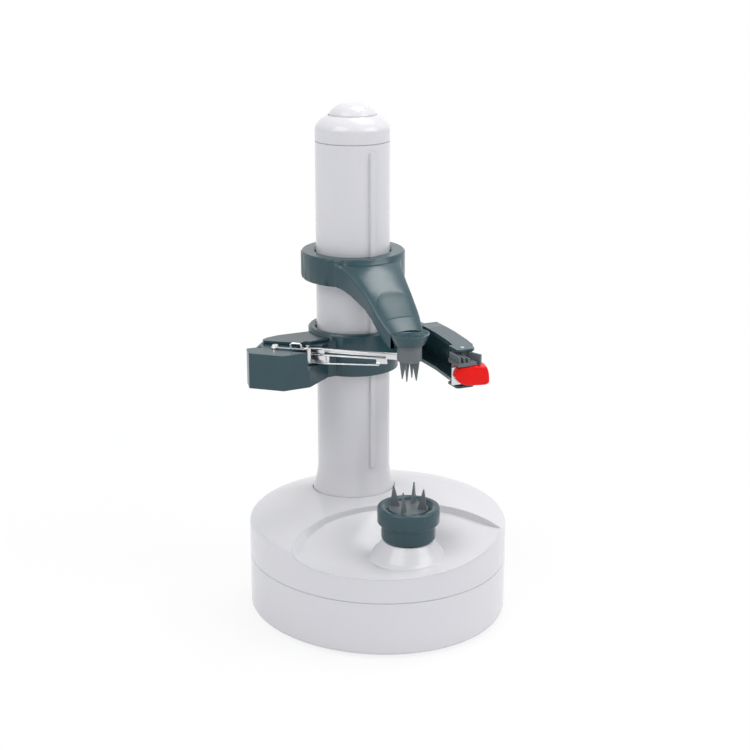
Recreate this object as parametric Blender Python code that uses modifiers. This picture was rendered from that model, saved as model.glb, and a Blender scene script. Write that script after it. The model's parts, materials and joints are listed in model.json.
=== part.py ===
"""Electric rotary peeler: a base with a geared spindle, a tower with a lead screw,
a food holder arm above and a peeling carriage with its blade arm below it.

Metres, +Z up. Origin under the middle of the base's length and width, on the
standing plane; spindle towards -Y, tower towards +Y.
"""

import math

import bmesh
import bpy
from mathutils import Matrix, Vector

# Clearances and finenesses
FIT = 0.0003
RUN = 0.0004
OVERRUN = 0.003
WELD = 0.000004
BASE_STEPS = 36
INNER_STEPS = 24
ROUND_STEPS = 28
PIN_STEPS = 12
ARC_STEPS = 2

# Base: lower tray and upper cover on an oval plan
BASE_HALF_WIDTH = 0.0700
BASE_FRONT_LENGTH = 0.0765
BASE_REAR_LENGTH = 0.0690
BASE_WALL = 0.0024
TRAY_HEIGHT = 0.02935
TRAY_EDGE_ROUND = 0.0016
COVER_EDGE_HEIGHT = 0.0204
COVER_EDGE_ROUND = 0.0026
CROWN_RISE = 0.0068
CROWN_POWER = 3.5
CROWN_SHARES = (0.0, 0.50, 0.74, 0.90)
FOOT_HEIGHT = 0.0020
FOOT_RADIUS = 0.0060
FOOT_SPREAD_SHARES = (0.50, 0.60)

# Dish round the spindle, and the cone under the cup
DISH_DEPTH = 0.01535
DISH_FLAT_RADIUS = 0.0200
DISH_BOWL_RISE = 0.0052
DISH_BOWL_RADIUS = 0.0560
DISH_BOWL_SHARES = (0.45, 0.80, 1.2)
DISH_TILT = math.radians(3.5)
DISH_LEAN = math.radians(2.0)
DISH_OUTLINE_RADIUS = 0.0690
DISH_OUTLINE_BEHIND_SPINDLE = 0.0420
DISH_WALL_DRAFT = 0.12
CONE_FOOT_RADIUS = 0.0184
CONE_TOP_RADIUS = 0.0140
CONE_HEIGHT = 0.0090

# Axes in plan
SPINDLE_DISTANCE = 0.04168
TOWER_DISTANCE = 0.03125

# Screws that hold cover and tray together
BASE_SCREW_SPREAD_SHARES = (0.686, 0.576)
BASE_SCREW_RADIUS = 0.0014
BASE_SCREW_LENGTH = 0.0280
BASE_SCREW_HEAD_RADIUS = 0.0026
BASE_SCREW_HEAD_HEIGHT = 0.0014
BASE_BOSS_RADIUS = 0.0042

# Battery bay in the tray's floor
CELL_RADIUS = 0.0071
CELL_LENGTH = 0.0492
CELL_NIPPLE_RADIUS = 0.0027
CELL_NIPPLE_LENGTH = 0.0012
CELL_COUNT = 4
CELL_PITCH = 0.0146
BAY_RIGHT_EDGE = -0.0010
BAY_END_ROOM = 0.0008
BAY_RIB = 0.0012
BAY_RIB_HEIGHT = 0.0100
DOOR_NOTCH_RADIUS = 0.0070
DOOR_NOTCH_DEPTH = 0.0010

# Gear train: teeth, modules and levels
PRESSURE_ANGLE = math.radians(25)
ADDENDUM_SHARE = 0.85
DEDENDUM_SHARE = 1.15
TOOTH_THINNING = 0.00016
SLOW_MODULE = 0.00150
FAST_MODULE = 0.00110
SPINDLE_TEETH = 30
SCREW_TEETH = 30
IDLER_TEETH = 20
SMALL_TEETH = 12
LARGE_TEETH = 30
PINION_TEETH = 12
GEAR_PLATE_BELOW_SEAM = 0.00685
GEAR_PLATE_THICKNESS = 0.0016
FAST_ABOVE_PLATE = 0.0014
FAST_FACE = 0.0040
SLOW_ABOVE_FAST = 0.0015
SLOW_FACE = 0.0050
COMPOUND_BEARING = math.radians(20)
MOTOR_BEARING = math.radians(84)
AXLE_RADIUS = 0.0015
MOTOR_RADIUS = 0.0138
MOTOR_FLOOR_ROOM = 0.0014
MOTOR_SHAFT_RADIUS = 0.0010
MOTOR_COLLAR_RADIUS = 0.0030
MOTOR_COLLAR_HEIGHT = 0.0012
PLATE_MARGIN = 0.0050
PLATE_POST_RADIUS = 0.0030

# Spindle and food cup
SPINDLE_RADIUS = 0.0030
SPINDLE_FOOT_CLEAR = 0.0006
BEARING_WALL = 0.0024
BEARING_HEIGHT = 0.0070
CUP_ABOVE_CONE = 0.0006
CUP_BARREL_RADIUS = 0.0144
CUP_FLANGE_RADIUS = 0.0166
CUP_BARREL_HEIGHT = 0.0093
CUP_FLANGE_DEPTH = 0.0089
CUP_EDGE_ROUND = 0.0012
CUP_DISH_DEPTH = 0.0026
CUP_DISH_RADIUS = 0.0138
CUP_SOCKET_DEPTH = 0.0070
SPIKE_COUNT = 4
SPIKE_RING_RADIUS = 0.0076
SPIKE_HEIGHT = 0.0125
SPIKE_WIDTH = 0.0052
SPIKE_THICKNESS = 0.0016
SPIKE_PLATE_RADIUS = 0.0104
SPIKE_PLATE_THICKNESS = 0.0012

# Tower
TOWER_RADIUS = 0.02020
TOWER_WALL = 0.0024
TOWER_LENGTH = 0.19565
TOWER_FOOT_RADIUS = 0.0230
TOWER_FOOT_HEIGHT = 0.0140
TOWER_SEAT_DEPTH = 0.0033
TOWER_BOSS_MARGIN = 0.0022
TOWER_BOSS_DEPTH = 0.0058
RIB_AZIMUTH = math.radians(7.5)
RIB_WIDTH = 0.0033
RIB_PROUD = 0.0015
RIB_TOP_SHORT = 0.0032
RIB_FOOT_CLEAR = 0.0020
SLOT_WIDTH = 0.0090

# Tower cap and power button
CAP_SIDE_HEIGHT = 0.0076
CAP_DOME_HEIGHT = 0.0060
CAP_DOME_SHARES = ((0.35, 0.78), (0.70, 0.44))
CAP_WALL = 0.0020
CAP_SPIGOT_LENGTH = 0.0040
BUTTON_RADIUS = 0.0126
BUTTON_SIDE = 0.0006
BUTTON_DOME = 0.0057
BUTTON_SKIN = 0.0016
BUTTON_FLANGE = 0.0009
BUTTON_TRAVEL = 0.0015
BUTTON_STEM_RADIUS = 0.0025
SWITCH_SIZE = (0.0128, 0.0080, 0.0066)

# Lead screw and its top bearing
SCREW_RADIUS = 0.0040
SCREW_BELOW_SEAM = 0.0157
TOP_BEARING_THICKNESS = 0.0030

# Upper collar with the food holder arm
HOLDER_BELOW_SEAM = 0.0594
HOLDER_COLLAR_HEIGHT = 0.0150
HOLDER_COLLAR_RADIUS = 0.02847
COLLAR_BORE_CLEAR = 0.00050
COLLAR_CHAMFER = 0.0009
FLUTE_DEPTH = 0.0008
FLUTE_COUNT = 12
FLUTE_FROM = math.radians(118)
FLUTE_TO = math.radians(252)
ARM_SKIN = 0.0022
ARM_CROWN = 0.0022
ARM_ROOT_WIDTH = 0.0335
ARM_DROP = 0.0230
HUB_BELOW_COLLAR = 0.0293
HUB_TOP_RADIUS = 0.0104
HUB_DEPTH = 0.0056
HUB_BOTTOM_RADIUS = 0.0080
HUB_RIM = 0.0007
HUB_DISH = 0.0006

# Top spike that turns in the arm's hub
TOP_SPIKE_RADIUS = 0.0064
TOP_SPIKE_LENGTH = 0.0090
TOP_SPIKE_EDGE = 0.0008
TOP_SPIKE_CORE_SHARE = 0.82
PRONG_LENGTH = 0.0100
PRONG_COUNT = 4
PRONG_THICKNESS = 0.0013
SPIKE_PIN_RADIUS = 0.0013
SPIKE_PIN_DEPTH = 0.0034

# Release button at the back of the upper collar
RELEASE_WIDTH = 0.0120
RELEASE_HEIGHT = 0.0080
RELEASE_PROUD = 0.0030
RELEASE_TRAVEL = 0.0012
RELEASE_DEPTH = 0.0050

# Carriage: lower collar, outrigger, pivot lugs
CARRIAGE_BELOW_HOLDER = 0.0273
CARRIAGE_COLLAR_HEIGHT = 0.0232
CARRIAGE_UP = 0.0130
CARRIAGE_DOWN = 0.0530
CARRIAGE_COLLAR_RADIUS = 0.02485
OUTRIGGER_REACH = 0.0683
OUTRIGGER_DEPTH = 0.0347
OUTRIGGER_FRONT = 0.03165
OUTRIGGER_HEIGHT = 0.0193
OUTRIGGER_WALL = 0.0020
OUTRIGGER_SHARES = (
    (0.19, 0.43), (0.33, 0.40), (0.562, 0.026), (0.786, 0.0), (1.0, 0.366),
    (0.969, 0.628), (0.890, 0.625), (0.788, 0.890), (0.640, 1.0), (0.19, 1.0),
)
LID_THICKNESS = 0.0016
LID_SHARES = (
    (0.28, 0.50), (0.533, 0.383), (0.694, 0.594), (0.800, 0.766),
    (0.797, 0.830), (0.745, 0.905), (0.640, 0.965), (0.30, 0.985),
)
POST_SHARE = (0.760, 0.473)
POST_RADIUS = 0.0013
POST_HEAD_RADIUS = 0.0023
POST_HEAD_HEIGHT = 0.0020
POST_LENGTH = 0.0060
EYE_SHARE = (0.860, 0.617)
EYE_RADIUS = 0.0011
HOOK_SHARES = ((0.660, 0.330), (0.590, 0.235))
HOOK_WIRE_RADIUS = 0.0006
HOOK_HEIGHT = 0.0028

# Steel strip that folds on a pin in the outrigger
STRIP_PIN_SHARE = (0.512, 0.363)
STRIP_BEARING = math.radians(-39.5)
STRIP_LENGTH = 0.0500
STRIP_ROOT_HEIGHT = 0.0090
STRIP_TIP_HEIGHT = 0.0066
STRIP_TOP_DROP = 0.0004
STRIP_GAUGE = 0.0007
STRIP_DEPTH = 0.0030
STRIP_SLOT_LENGTH = 0.0340
STRIP_SLOT_HEIGHT = 0.0018
STRIP_BARREL_RADIUS = 0.0026
STRIP_PIN_RADIUS = 0.0011
STRIP_FOLD = math.radians(24)
STRIP_GATE_SWEEP = math.radians(56)

# Blade arm and its hinge on the carriage
PIVOT_X = 0.0370
PIVOT_BEHIND_TOWER = 0.0063
PIVOT_LUG_RADIUS = 0.0050
PIVOT_LUG_THICKNESS = 0.0032
PIVOT_PIN_RADIUS = 0.0016
PIVOT_BARREL_RADIUS = 0.0046
PIVOT_HEAD_RADIUS = 0.0028
PIVOT_HEAD_HEIGHT = 0.0012
BLADE_ARM_HEIGHT = 0.0212
BLADE_ARM_GAUGE = 0.0020
BLADE_ARM_FLANGE = 0.0108
BLADE_ARM_LENGTH = 0.0610
BLADE_ARM_BOW = 0.0476
BLADE_ARM_SHARES = (
    (0.0, 0.940), (0.10, 0.968), (0.24, 0.996), (0.42, 1.000),
    (0.60, 0.998), (0.78, 0.979), (0.90, 0.966), (1.0, 0.945),
)

# Blade carrier, blade and cap at the arm's end
CARRIER_PIN_DISTANCE = 0.0056
CARRIER_PIN_RADIUS = 0.0012
CARRIER_BARREL_RADIUS = 0.0030
CARRIER_EAR = 0.0016
CARRIER_EAR_HALF_WIDTH = 0.0053
CARRIER_EAR_REACH = 0.0048
CARRIER_EAR_CORNER = 0.0012
CARRIER_PIN_INWARDS = 0.0080
CARRIER_FIN_COUNT = 3
CARRIER_FIN_THICKNESS = 0.0010
CARRIER_FIN_PITCH = 0.0026
CARRIER_FIN_LENGTH = 0.0110
CARRIER_FIN_HEIGHT = 0.0040
FLAG_LENGTH = 0.0128
FLAG_THICKNESS = 0.0012
FLAG_BEARING = math.radians(-67)
CAP_SIZE = (0.0192, 0.0092, 0.0107)
CAP_CORNER = 0.0008
CAP_OUTLINE_SHARES = (
    (0.0, 0.54), (0.035, 0.78), (0.11, 0.93), (0.22, 1.0), (0.885, 1.0), (0.94, 0.86),
    (0.98, 0.62), (1.0, 0.29), (0.985, 0.02), (0.62, 0.0), (0.22, 0.06), (0.096, 0.28),
)
CAP_BESIDE_PIN = 0.0006
CAP_AHEAD_OF_PIN = 0.0085
CAP_ABOVE_ARM_FOOT = 0.0032
BLADE_LENGTH = 0.0096
BLADE_WIDTH = 0.0062
BLADE_GAUGE = 0.0006
BLADE_PROUD = 0.0014

# Half nut that locks the carriage to the lead screw
NUT_HEIGHT = 0.0120
NUT_RADIUS = 0.0086
NUT_TRAVEL = 0.0028
NUT_CLEAR = 0.0004
KEY_WIDTH = 0.0070
KEY_HEIGHT = 0.0084
TAB_WIDTH = 0.0150
TAB_THICKNESS = 0.0034
TAB_PROUD = 0.0024

# Small screw on the carriage's collar
COLLAR_SCREW_AZIMUTH = math.radians(-48)
COLLAR_SCREW_RADIUS = 0.0011
COLLAR_SCREW_HEAD_RADIUS = 0.0018
COLLAR_SCREW_HEAD_HEIGHT = 0.0010
COLLAR_SCREW_LENGTH = 0.0060

# Levels that follow from the sizes above
TRAY_BOTTOM = FOOT_HEIGHT
SEAM = TRAY_BOTTOM + TRAY_HEIGHT
COVER_BOTTOM = SEAM + FIT
DECK_EDGE = SEAM + COVER_EDGE_HEIGHT
DECK_TOP = DECK_EDGE + CROWN_RISE
TRAY_FLOOR = TRAY_BOTTOM + BASE_WALL
DISH_FLOOR_HEIGHT = DECK_TOP - DISH_DEPTH
CONE_TOP_HEIGHT = DISH_FLOOR_HEIGHT + CONE_HEIGHT
CUP_BOTTOM_HEIGHT = CONE_TOP_HEIGHT + CUP_ABOVE_CONE
CUP_FLANGE_HEIGHT = CUP_BOTTOM_HEIGHT + CUP_BARREL_HEIGHT
CUP_TOP_HEIGHT = CUP_FLANGE_HEIGHT + CUP_FLANGE_DEPTH
TOWER_SEAM_HEIGHT = DECK_TOP + TOWER_LENGTH
SCREW_TOP_HEIGHT = TOWER_SEAM_HEIGHT - SCREW_BELOW_SEAM
TOWER_SEAT = DECK_TOP - TOWER_SEAT_DEPTH
CAP_SEAM = TOWER_SEAM_HEIGHT + FIT
CAP_SIDE_TOP = CAP_SEAM + CAP_SIDE_HEIGHT
CAP_DOME_TOP = CAP_SIDE_TOP + CAP_DOME_HEIGHT
HOLDER_TOP_HEIGHT = TOWER_SEAM_HEIGHT - HOLDER_BELOW_SEAM
HOLDER_BOTTOM = HOLDER_TOP_HEIGHT - HOLDER_COLLAR_HEIGHT
HUB_TOP_HEIGHT = HOLDER_TOP_HEIGHT - HUB_BELOW_COLLAR
HUB_BOTTOM_HEIGHT = HUB_TOP_HEIGHT - HUB_DEPTH
CARRIAGE_TOP = HOLDER_BOTTOM - CARRIAGE_BELOW_HOLDER
CARRIAGE_BOTTOM_HEIGHT = CARRIAGE_TOP - CARRIAGE_COLLAR_HEIGHT
OUTRIGGER_TOP = CARRIAGE_BOTTOM_HEIGHT + OUTRIGGER_HEIGHT
BLADE_ARM_TOP_HEIGHT = CARRIAGE_BOTTOM_HEIGHT + BLADE_ARM_HEIGHT
CAP_BOTTOM_HEIGHT = CARRIAGE_BOTTOM_HEIGHT + CAP_ABOVE_ARM_FOOT
CARRIER_LOW = CARRIAGE_BOTTOM_HEIGHT + CARRIER_EAR
CARRIER_TOP = BLADE_ARM_TOP_HEIGHT - CARRIER_EAR
RELEASE_FACE = HOLDER_COLLAR_RADIUS
COLLAR_BORE = TOWER_RADIUS + COLLAR_BORE_CLEAR
WAIST_Y = (BASE_FRONT_LENGTH - BASE_REAR_LENGTH) / 2
SPINDLE_Y = WAIST_Y - SPINDLE_DISTANCE
TOWER_Y = WAIST_Y + TOWER_DISTANCE
PIVOT_Y = TOWER_Y + PIVOT_BEHIND_TOWER
HUB_Y = SPINDLE_Y
GEAR_PLATE_LEVEL = SEAM - GEAR_PLATE_BELOW_SEAM
PLATE_TOP = GEAR_PLATE_LEVEL + GEAR_PLATE_THICKNESS
FAST_LEVEL = PLATE_TOP + FAST_ABOVE_PLATE
FAST_TOP = FAST_LEVEL + FAST_FACE
SLOW_LEVEL = FAST_TOP + SLOW_ABOVE_FAST
SLOW_TOP = SLOW_LEVEL + SLOW_FACE
MOTOR_LENGTH = GEAR_PLATE_LEVEL - FIT - TRAY_FLOOR - MOTOR_FLOOR_ROOM

FINISHES = {
    "white_shell": ((0.72, 0.72, 0.74), 0.30, 0.0),
    "teal_grey": ((0.075, 0.115, 0.125), 0.28, 0.0),
    "grey_plastic": ((0.20, 0.22, 0.23), 0.38, 0.0),
    "red_plastic": ((0.62, 0.02, 0.03), 0.32, 0.0),
    "steel": ((0.66, 0.67, 0.69), 0.24, 1.0),
    "dark_steel": ((0.30, 0.31, 0.33), 0.35, 1.0),
    "rubber": ((0.03, 0.03, 0.03), 0.80, 0.0),
    "gear_nylon": ((0.80, 0.79, 0.74), 0.45, 0.0),
    "cell_foil": ((0.10, 0.22, 0.30), 0.35, 0.4),
    "switch_black": ((0.04, 0.04, 0.045), 0.45, 0.0),
}


# Scene and objects

for old in list(bpy.data.objects):
    bpy.data.objects.remove(old, do_unlink=True)

PEELER = bpy.data.collections.new("electric_peeler")
bpy.context.scene.collection.children.link(PEELER)


def paint(obj, finish):
    """Gives the object its own Principled material."""
    colour, roughness, metallic = FINISHES[finish]
    material = bpy.data.materials.new(f"{obj.name}_{finish}")
    material.use_nodes = True
    shader = material.node_tree.nodes["Principled BSDF"]
    shader.inputs["Base Color"].default_value = (*colour, 1.0)
    shader.inputs["Roughness"].default_value = roughness
    shader.inputs["Metallic"].default_value = metallic
    material.diffuse_color = (*colour, 1.0)
    obj.data.materials.clear()
    obj.data.materials.append(material)


def clean(bm):
    """Welds seams, drops collapsed faces and turns every face outwards."""
    bmesh.ops.remove_doubles(bm, verts=bm.verts, dist=WELD)
    bmesh.ops.dissolve_degenerate(bm, dist=WELD, edges=bm.edges)
    bmesh.ops.recalc_face_normals(bm, faces=bm.faces)


def placed(name, bm, at):
    """An object of this mesh, with its origin at the given place."""
    clean(bm)
    mesh = bpy.data.meshes.new(name)
    bm.to_mesh(mesh)
    bm.free()
    obj = bpy.data.objects.new(name, mesh)
    obj.location = at
    PEELER.objects.link(obj)
    return obj


def baked(obj):
    """Puts the evaluated shape into the object's own mesh."""
    bpy.context.view_layer.update()
    graph = bpy.context.evaluated_depsgraph_get()
    shape = bpy.data.meshes.new_from_object(obj.evaluated_get(graph))
    bm = bmesh.new()
    bm.from_mesh(shape)
    clean(bm)
    bm.to_mesh(shape)
    bm.free()
    if obj.type == "CURVE":
        solid = bpy.data.objects.new(obj.name + "_solid", shape)
        solid.matrix_world = obj.matrix_world.copy()
        name = obj.name
        bpy.data.objects.remove(obj)
        solid.name = name
        PEELER.objects.link(solid)
        return solid
    obj.modifiers.clear()
    obj.data = shape
    return obj


def combined(target, tool, operation):
    """One exact Boolean; the tool is used up."""
    modifier = target.modifiers.new(operation, "BOOLEAN")
    modifier.operation = operation
    modifier.solver = "EXACT"
    modifier.object = tool
    baked(target)
    bpy.data.objects.remove(tool)
    return target


def cut(target, *tools):
    for tool in tools:
        combined(target, tool, "DIFFERENCE")
    return target


def joined(target, *tools):
    for tool in tools:
        combined(target, tool, "UNION")
    return target


def softened(obj, width, segments=1):
    """Rounds the sharp edges."""
    bevel = obj.modifiers.new("Edges", "BEVEL")
    bevel.width = width
    bevel.segments = segments
    bevel.limit_method = "ANGLE"
    bevel.angle_limit = math.radians(40)
    return baked(obj)


def turned(name, profile, at=(0, 0, 0), steps=ROUND_STEPS):
    """A closed (radius, height) profile turned about the object's Z axis."""
    mesh = bpy.data.meshes.new(name)
    count = len(profile)
    edges = []
    for index in range(count):
        after = (index + 1) % count
        if profile[index][0] or profile[after][0]:
            edges.append((index, after))
    mesh.from_pydata([(radius, 0, height) for radius, height in profile], edges, [])
    obj = bpy.data.objects.new(name, mesh)
    obj.location = at
    PEELER.objects.link(obj)
    screw = obj.modifiers.new("Turn", "SCREW")
    screw.steps = steps
    screw.render_steps = steps
    screw.use_merge_vertices = True
    screw.merge_threshold = WELD
    return baked(obj)


def box(name, low, high, at=(0, 0, 0)):
    """A block between two corners given from the place `at`."""
    bm = bmesh.new()
    bmesh.ops.create_cube(bm, size=1)
    low, high = Vector(low), Vector(high)
    size = high - low
    bmesh.ops.scale(bm, vec=size, verts=bm.verts)
    bmesh.ops.translate(bm, vec=(low + high) / 2, verts=bm.verts)
    return placed(name, bm, at)


def rod(name, radius, low, high, at=(0, 0, 0), steps=PIN_STEPS, top_radius=None):
    """An upright cylinder or cone between two heights."""
    bm = bmesh.new()
    bmesh.ops.create_cone(
        bm, cap_ends=True, segments=steps, radius1=radius,
        radius2=radius if top_radius is None else top_radius, depth=high - low,
    )
    bmesh.ops.translate(bm, vec=(0, 0, (low + high) / 2), verts=bm.verts)
    return placed(name, bm, at)


def plate(name, outline, low, high, at=(0, 0, 0)):
    """A flat outline between two heights."""
    curve = bpy.data.curves.new(name, "CURVE")
    curve.dimensions = "2D"
    curve.fill_mode = "BOTH"
    curve.extrude = (high - low) / 2
    spline = curve.splines.new("POLY")
    spline.points.add(len(outline) - 1)
    for point, (x, y) in zip(spline.points, outline):
        point.co = (x, y, 0, 1)
    spline.use_cyclic_u = True
    obj = bpy.data.objects.new(name, curve)
    obj.location = (at[0], at[1], at[2] + (low + high) / 2)
    PEELER.objects.link(obj)
    solid = baked(obj)
    solid.data.transform(Matrix.Translation((0, 0, (low + high) / 2)))
    solid.location = at
    return solid


def wire(name, points, radius, at=(0, 0, 0), resolution=2):
    """A round wire through the points, with filled ends."""
    curve = bpy.data.curves.new(name, "CURVE")
    curve.dimensions = "3D"
    curve.bevel_depth = radius
    curve.bevel_resolution = resolution
    curve.use_fill_caps = True
    spline = curve.splines.new("POLY")
    spline.points.add(len(points) - 1)
    for point, place in zip(spline.points, points):
        point.co = (*place, 1)
    obj = bpy.data.objects.new(name, curve)
    obj.location = at
    PEELER.objects.link(obj)
    return baked(obj)


def loft(name, sections, at=(0, 0, 0)):
    """A skin over unlike sections of equal point counts, with both ends closed."""
    bm = bmesh.new()
    rings = [[bm.verts.new(point) for point in section] for section in sections]
    for lower, upper in zip(rings, rings[1:]):
        count = len(lower)
        for index in range(count):
            after = (index + 1) % count
            bm.faces.new((lower[index], lower[after], upper[after], upper[index]))
    bm.faces.new(rings[0])
    bm.faces.new(rings[-1])
    return placed(name, bm, at)


def turned_about_z(obj, angle):
    """Turns the object's shape about its own upright axis."""
    obj.data.transform(Matrix.Rotation(angle, 4, "Z"))
    return obj


def arc(centre_x, centre_y, radius, start, end, steps=ARC_STEPS):
    """Points on an arc, both ends included; angles in degrees."""
    points = []
    for index in range(steps + 1):
        angle = math.radians(start + (end - start) * index / steps)
        points.append((centre_x + radius * math.cos(angle), centre_y + radius * math.sin(angle)))
    return points


def toward(angle, distance, origin=(0, 0)):
    """The plan point at a distance in a direction."""
    return (origin[0] + distance * math.cos(angle), origin[1] + distance * math.sin(angle))


def inset(outline, distance):
    """The outline moved inwards by a distance; the outline runs either way."""
    area = sum(
        x0 * y1 - x1 * y0
        for (x0, y0), (x1, y1) in zip(outline, outline[1:] + outline[:1])
    )
    side = math.copysign(1, area)
    points = []
    count = len(outline)
    for index in range(count):
        before = Vector(outline[index - 1])
        here = Vector(outline[index])
        after = Vector(outline[(index + 1) % count])
        first = (here - before).normalized()
        second = (after - here).normalized()
        normal_one = Vector((-first.y, first.x)) * side
        normal_two = Vector((-second.y, second.x)) * side
        middle = (normal_one + normal_two).normalized()
        reach = distance / max(middle.dot(normal_one), 0.35)
        points.append(tuple(here + middle * reach))
    return points


def finish(obj, name, kind, smooth=True):
    """Names the piece, colours it and shades it."""
    obj.name = name
    obj.data.name = name
    paint(obj, kind)
    if smooth:
        obj.data.shade_smooth()
        obj.data.set_sharp_from_angle(angle=math.radians(35))
    return obj


# Base shells


def ovalled(obj):
    """Stretches a turned shape to the base's plan, front and rear apart."""
    for vertex in obj.data.vertices:
        length = BASE_FRONT_LENGTH if vertex.co.y < 0 else BASE_REAR_LENGTH
        vertex.co.y *= length / BASE_HALF_WIDTH
    return obj


def crown_height(share):
    """Deck height at a share of the way from the middle to the wall."""
    return DECK_EDGE + CROWN_RISE * (1 - share ** CROWN_POWER)


def crown_profile(inwards, bottom):
    """The cover's outer skin, moved inwards by a wall, closed at the bottom."""
    points = [
        (share * (BASE_HALF_WIDTH - inwards), crown_height(share) - inwards)
        for share in CROWN_SHARES
    ]
    edge = max(COVER_EDGE_ROUND - inwards, COVER_EDGE_ROUND / 4)
    radius = BASE_HALF_WIDTH - inwards
    height = DECK_EDGE - inwards + CROWN_RISE / 8
    points += arc(radius - edge, height - edge, edge, 70, 0)
    points += [(radius, bottom), (0, bottom)]
    return points


def dish(name, grow, steps=BASE_STEPS):
    """The room of the dish, grown by a wall for the cavity below it."""
    centre = SPINDLE_Y + DISH_OUTLINE_BEHIND_SPINDLE - DISH_OUTLINE_RADIUS
    low = DISH_FLOOR_HEIGHT - DISH_BOWL_RISE - grow
    high = DECK_TOP + DISH_BOWL_RISE
    spread = (high - low) * DISH_WALL_DRAFT
    outline = rod(
        name, DISH_OUTLINE_RADIUS - spread + grow, low, high, (0, centre, 0),
        steps, DISH_OUTLINE_RADIUS + grow,
    )
    profile = [(0, high - DISH_FLOOR_HEIGHT + DISH_BOWL_RISE), (0, -grow), (DISH_FLAT_RADIUS, -grow)]
    for share in DISH_BOWL_SHARES:
        radius = DISH_FLAT_RADIUS + (DISH_BOWL_RADIUS - DISH_FLAT_RADIUS) * share
        profile.append((radius, DISH_BOWL_RISE * share ** 2 - grow))
    profile.append((profile[-1][0], profile[0][1]))
    bowl = turned("bowl", profile, (0, SPINDLE_Y, DISH_FLOOR_HEIGHT), steps)
    bowl.data.transform(Matrix.Rotation(DISH_TILT, 4, "X") @ Matrix.Rotation(-DISH_LEAN, 4, "Y"))
    return combined(outline, bowl, "INTERSECT")


WAIST = (0, WAIST_Y, 0)


def spread_places(shares):
    """Two places in front and two at the back, as shares of the plan."""
    share_x, share_y = shares
    return [
        (side * share_x * BASE_HALF_WIDTH, WAIST_Y + share_y * length)
        for side in (-1, 1)
        for length in (-BASE_FRONT_LENGTH, BASE_REAR_LENGTH)
    ]


BASE_SCREW_PLACES = spread_places(BASE_SCREW_SPREAD_SHARES)
FOOT_PLACES = spread_places(FOOT_SPREAD_SHARES)
BAY_WIDTH = CELL_PITCH * CELL_COUNT
BAY_LENGTH = CELL_LENGTH + CELL_NIPPLE_LENGTH + BAY_END_ROOM * 2
BAY_LOW = (BAY_RIGHT_EDGE - BAY_WIDTH, WAIST_Y - BAY_LENGTH / 2)
BAY_HIGH = (BAY_RIGHT_EDGE, WAIST_Y + BAY_LENGTH / 2)

# Gear places: the idler joins the spindle's gear and the lead screw's gear
SPINDLE_PITCH_RADIUS = SLOW_MODULE * SPINDLE_TEETH / 2
SCREW_PITCH_RADIUS = SLOW_MODULE * SCREW_TEETH / 2
IDLER_PITCH_RADIUS = SLOW_MODULE * IDLER_TEETH / 2
SMALL_PITCH_RADIUS = SLOW_MODULE * SMALL_TEETH / 2
LARGE_PITCH_RADIUS = FAST_MODULE * LARGE_TEETH / 2
PINION_PITCH_RADIUS = FAST_MODULE * PINION_TEETH / 2
AXES_DISTANCE = SPINDLE_DISTANCE + TOWER_DISTANCE
SPINDLE_IDLER = SPINDLE_PITCH_RADIUS + IDLER_PITCH_RADIUS
SCREW_IDLER = SCREW_PITCH_RADIUS + IDLER_PITCH_RADIUS
IDLER_ALONG = (AXES_DISTANCE ** 2 + SPINDLE_IDLER ** 2 - SCREW_IDLER ** 2) / (2 * AXES_DISTANCE)
IDLER_PLACE = (
    math.sqrt(SPINDLE_IDLER ** 2 - IDLER_ALONG ** 2),
    SPINDLE_Y + IDLER_ALONG,
)
SPINDLE_PLACE = (0, SPINDLE_Y)
SCREW_PLACE = (0, TOWER_Y)
COMPOUND_PLACE = toward(
    COMPOUND_BEARING, SPINDLE_PITCH_RADIUS + SMALL_PITCH_RADIUS, SPINDLE_PLACE
)
MOTOR_PLACE = toward(MOTOR_BEARING, LARGE_PITCH_RADIUS + PINION_PITCH_RADIUS, COMPOUND_PLACE)

PLATE_HALF_WIDTH = MOTOR_PLACE[0] + PLATE_MARGIN * 2
PLATE_FRONT = SPINDLE_Y - PLATE_MARGIN * 2
PLATE_REAR = TOWER_Y + PLATE_MARGIN * 2
PLATE_OUTLINE = [
    (-PLATE_MARGIN * 3, PLATE_FRONT), (COMPOUND_PLACE[0], PLATE_FRONT),
    (PLATE_HALF_WIDTH, COMPOUND_PLACE[1]), (PLATE_HALF_WIDTH, MOTOR_PLACE[1] + PLATE_MARGIN * 2),
    (PLATE_MARGIN * 3, PLATE_REAR), (-PLATE_MARGIN * 3, PLATE_REAR),
]
POST_PLACES = [
    (-PLATE_MARGIN * 2, PLATE_FRONT + PLATE_MARGIN),
    (COMPOUND_PLACE[0] - PLATE_MARGIN / 2, PLATE_FRONT + PLATE_MARGIN),
    (PLATE_MARGIN * 2, PLATE_REAR - PLATE_MARGIN),
    (-PLATE_MARGIN * 2, PLATE_REAR - PLATE_MARGIN),
]


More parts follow.
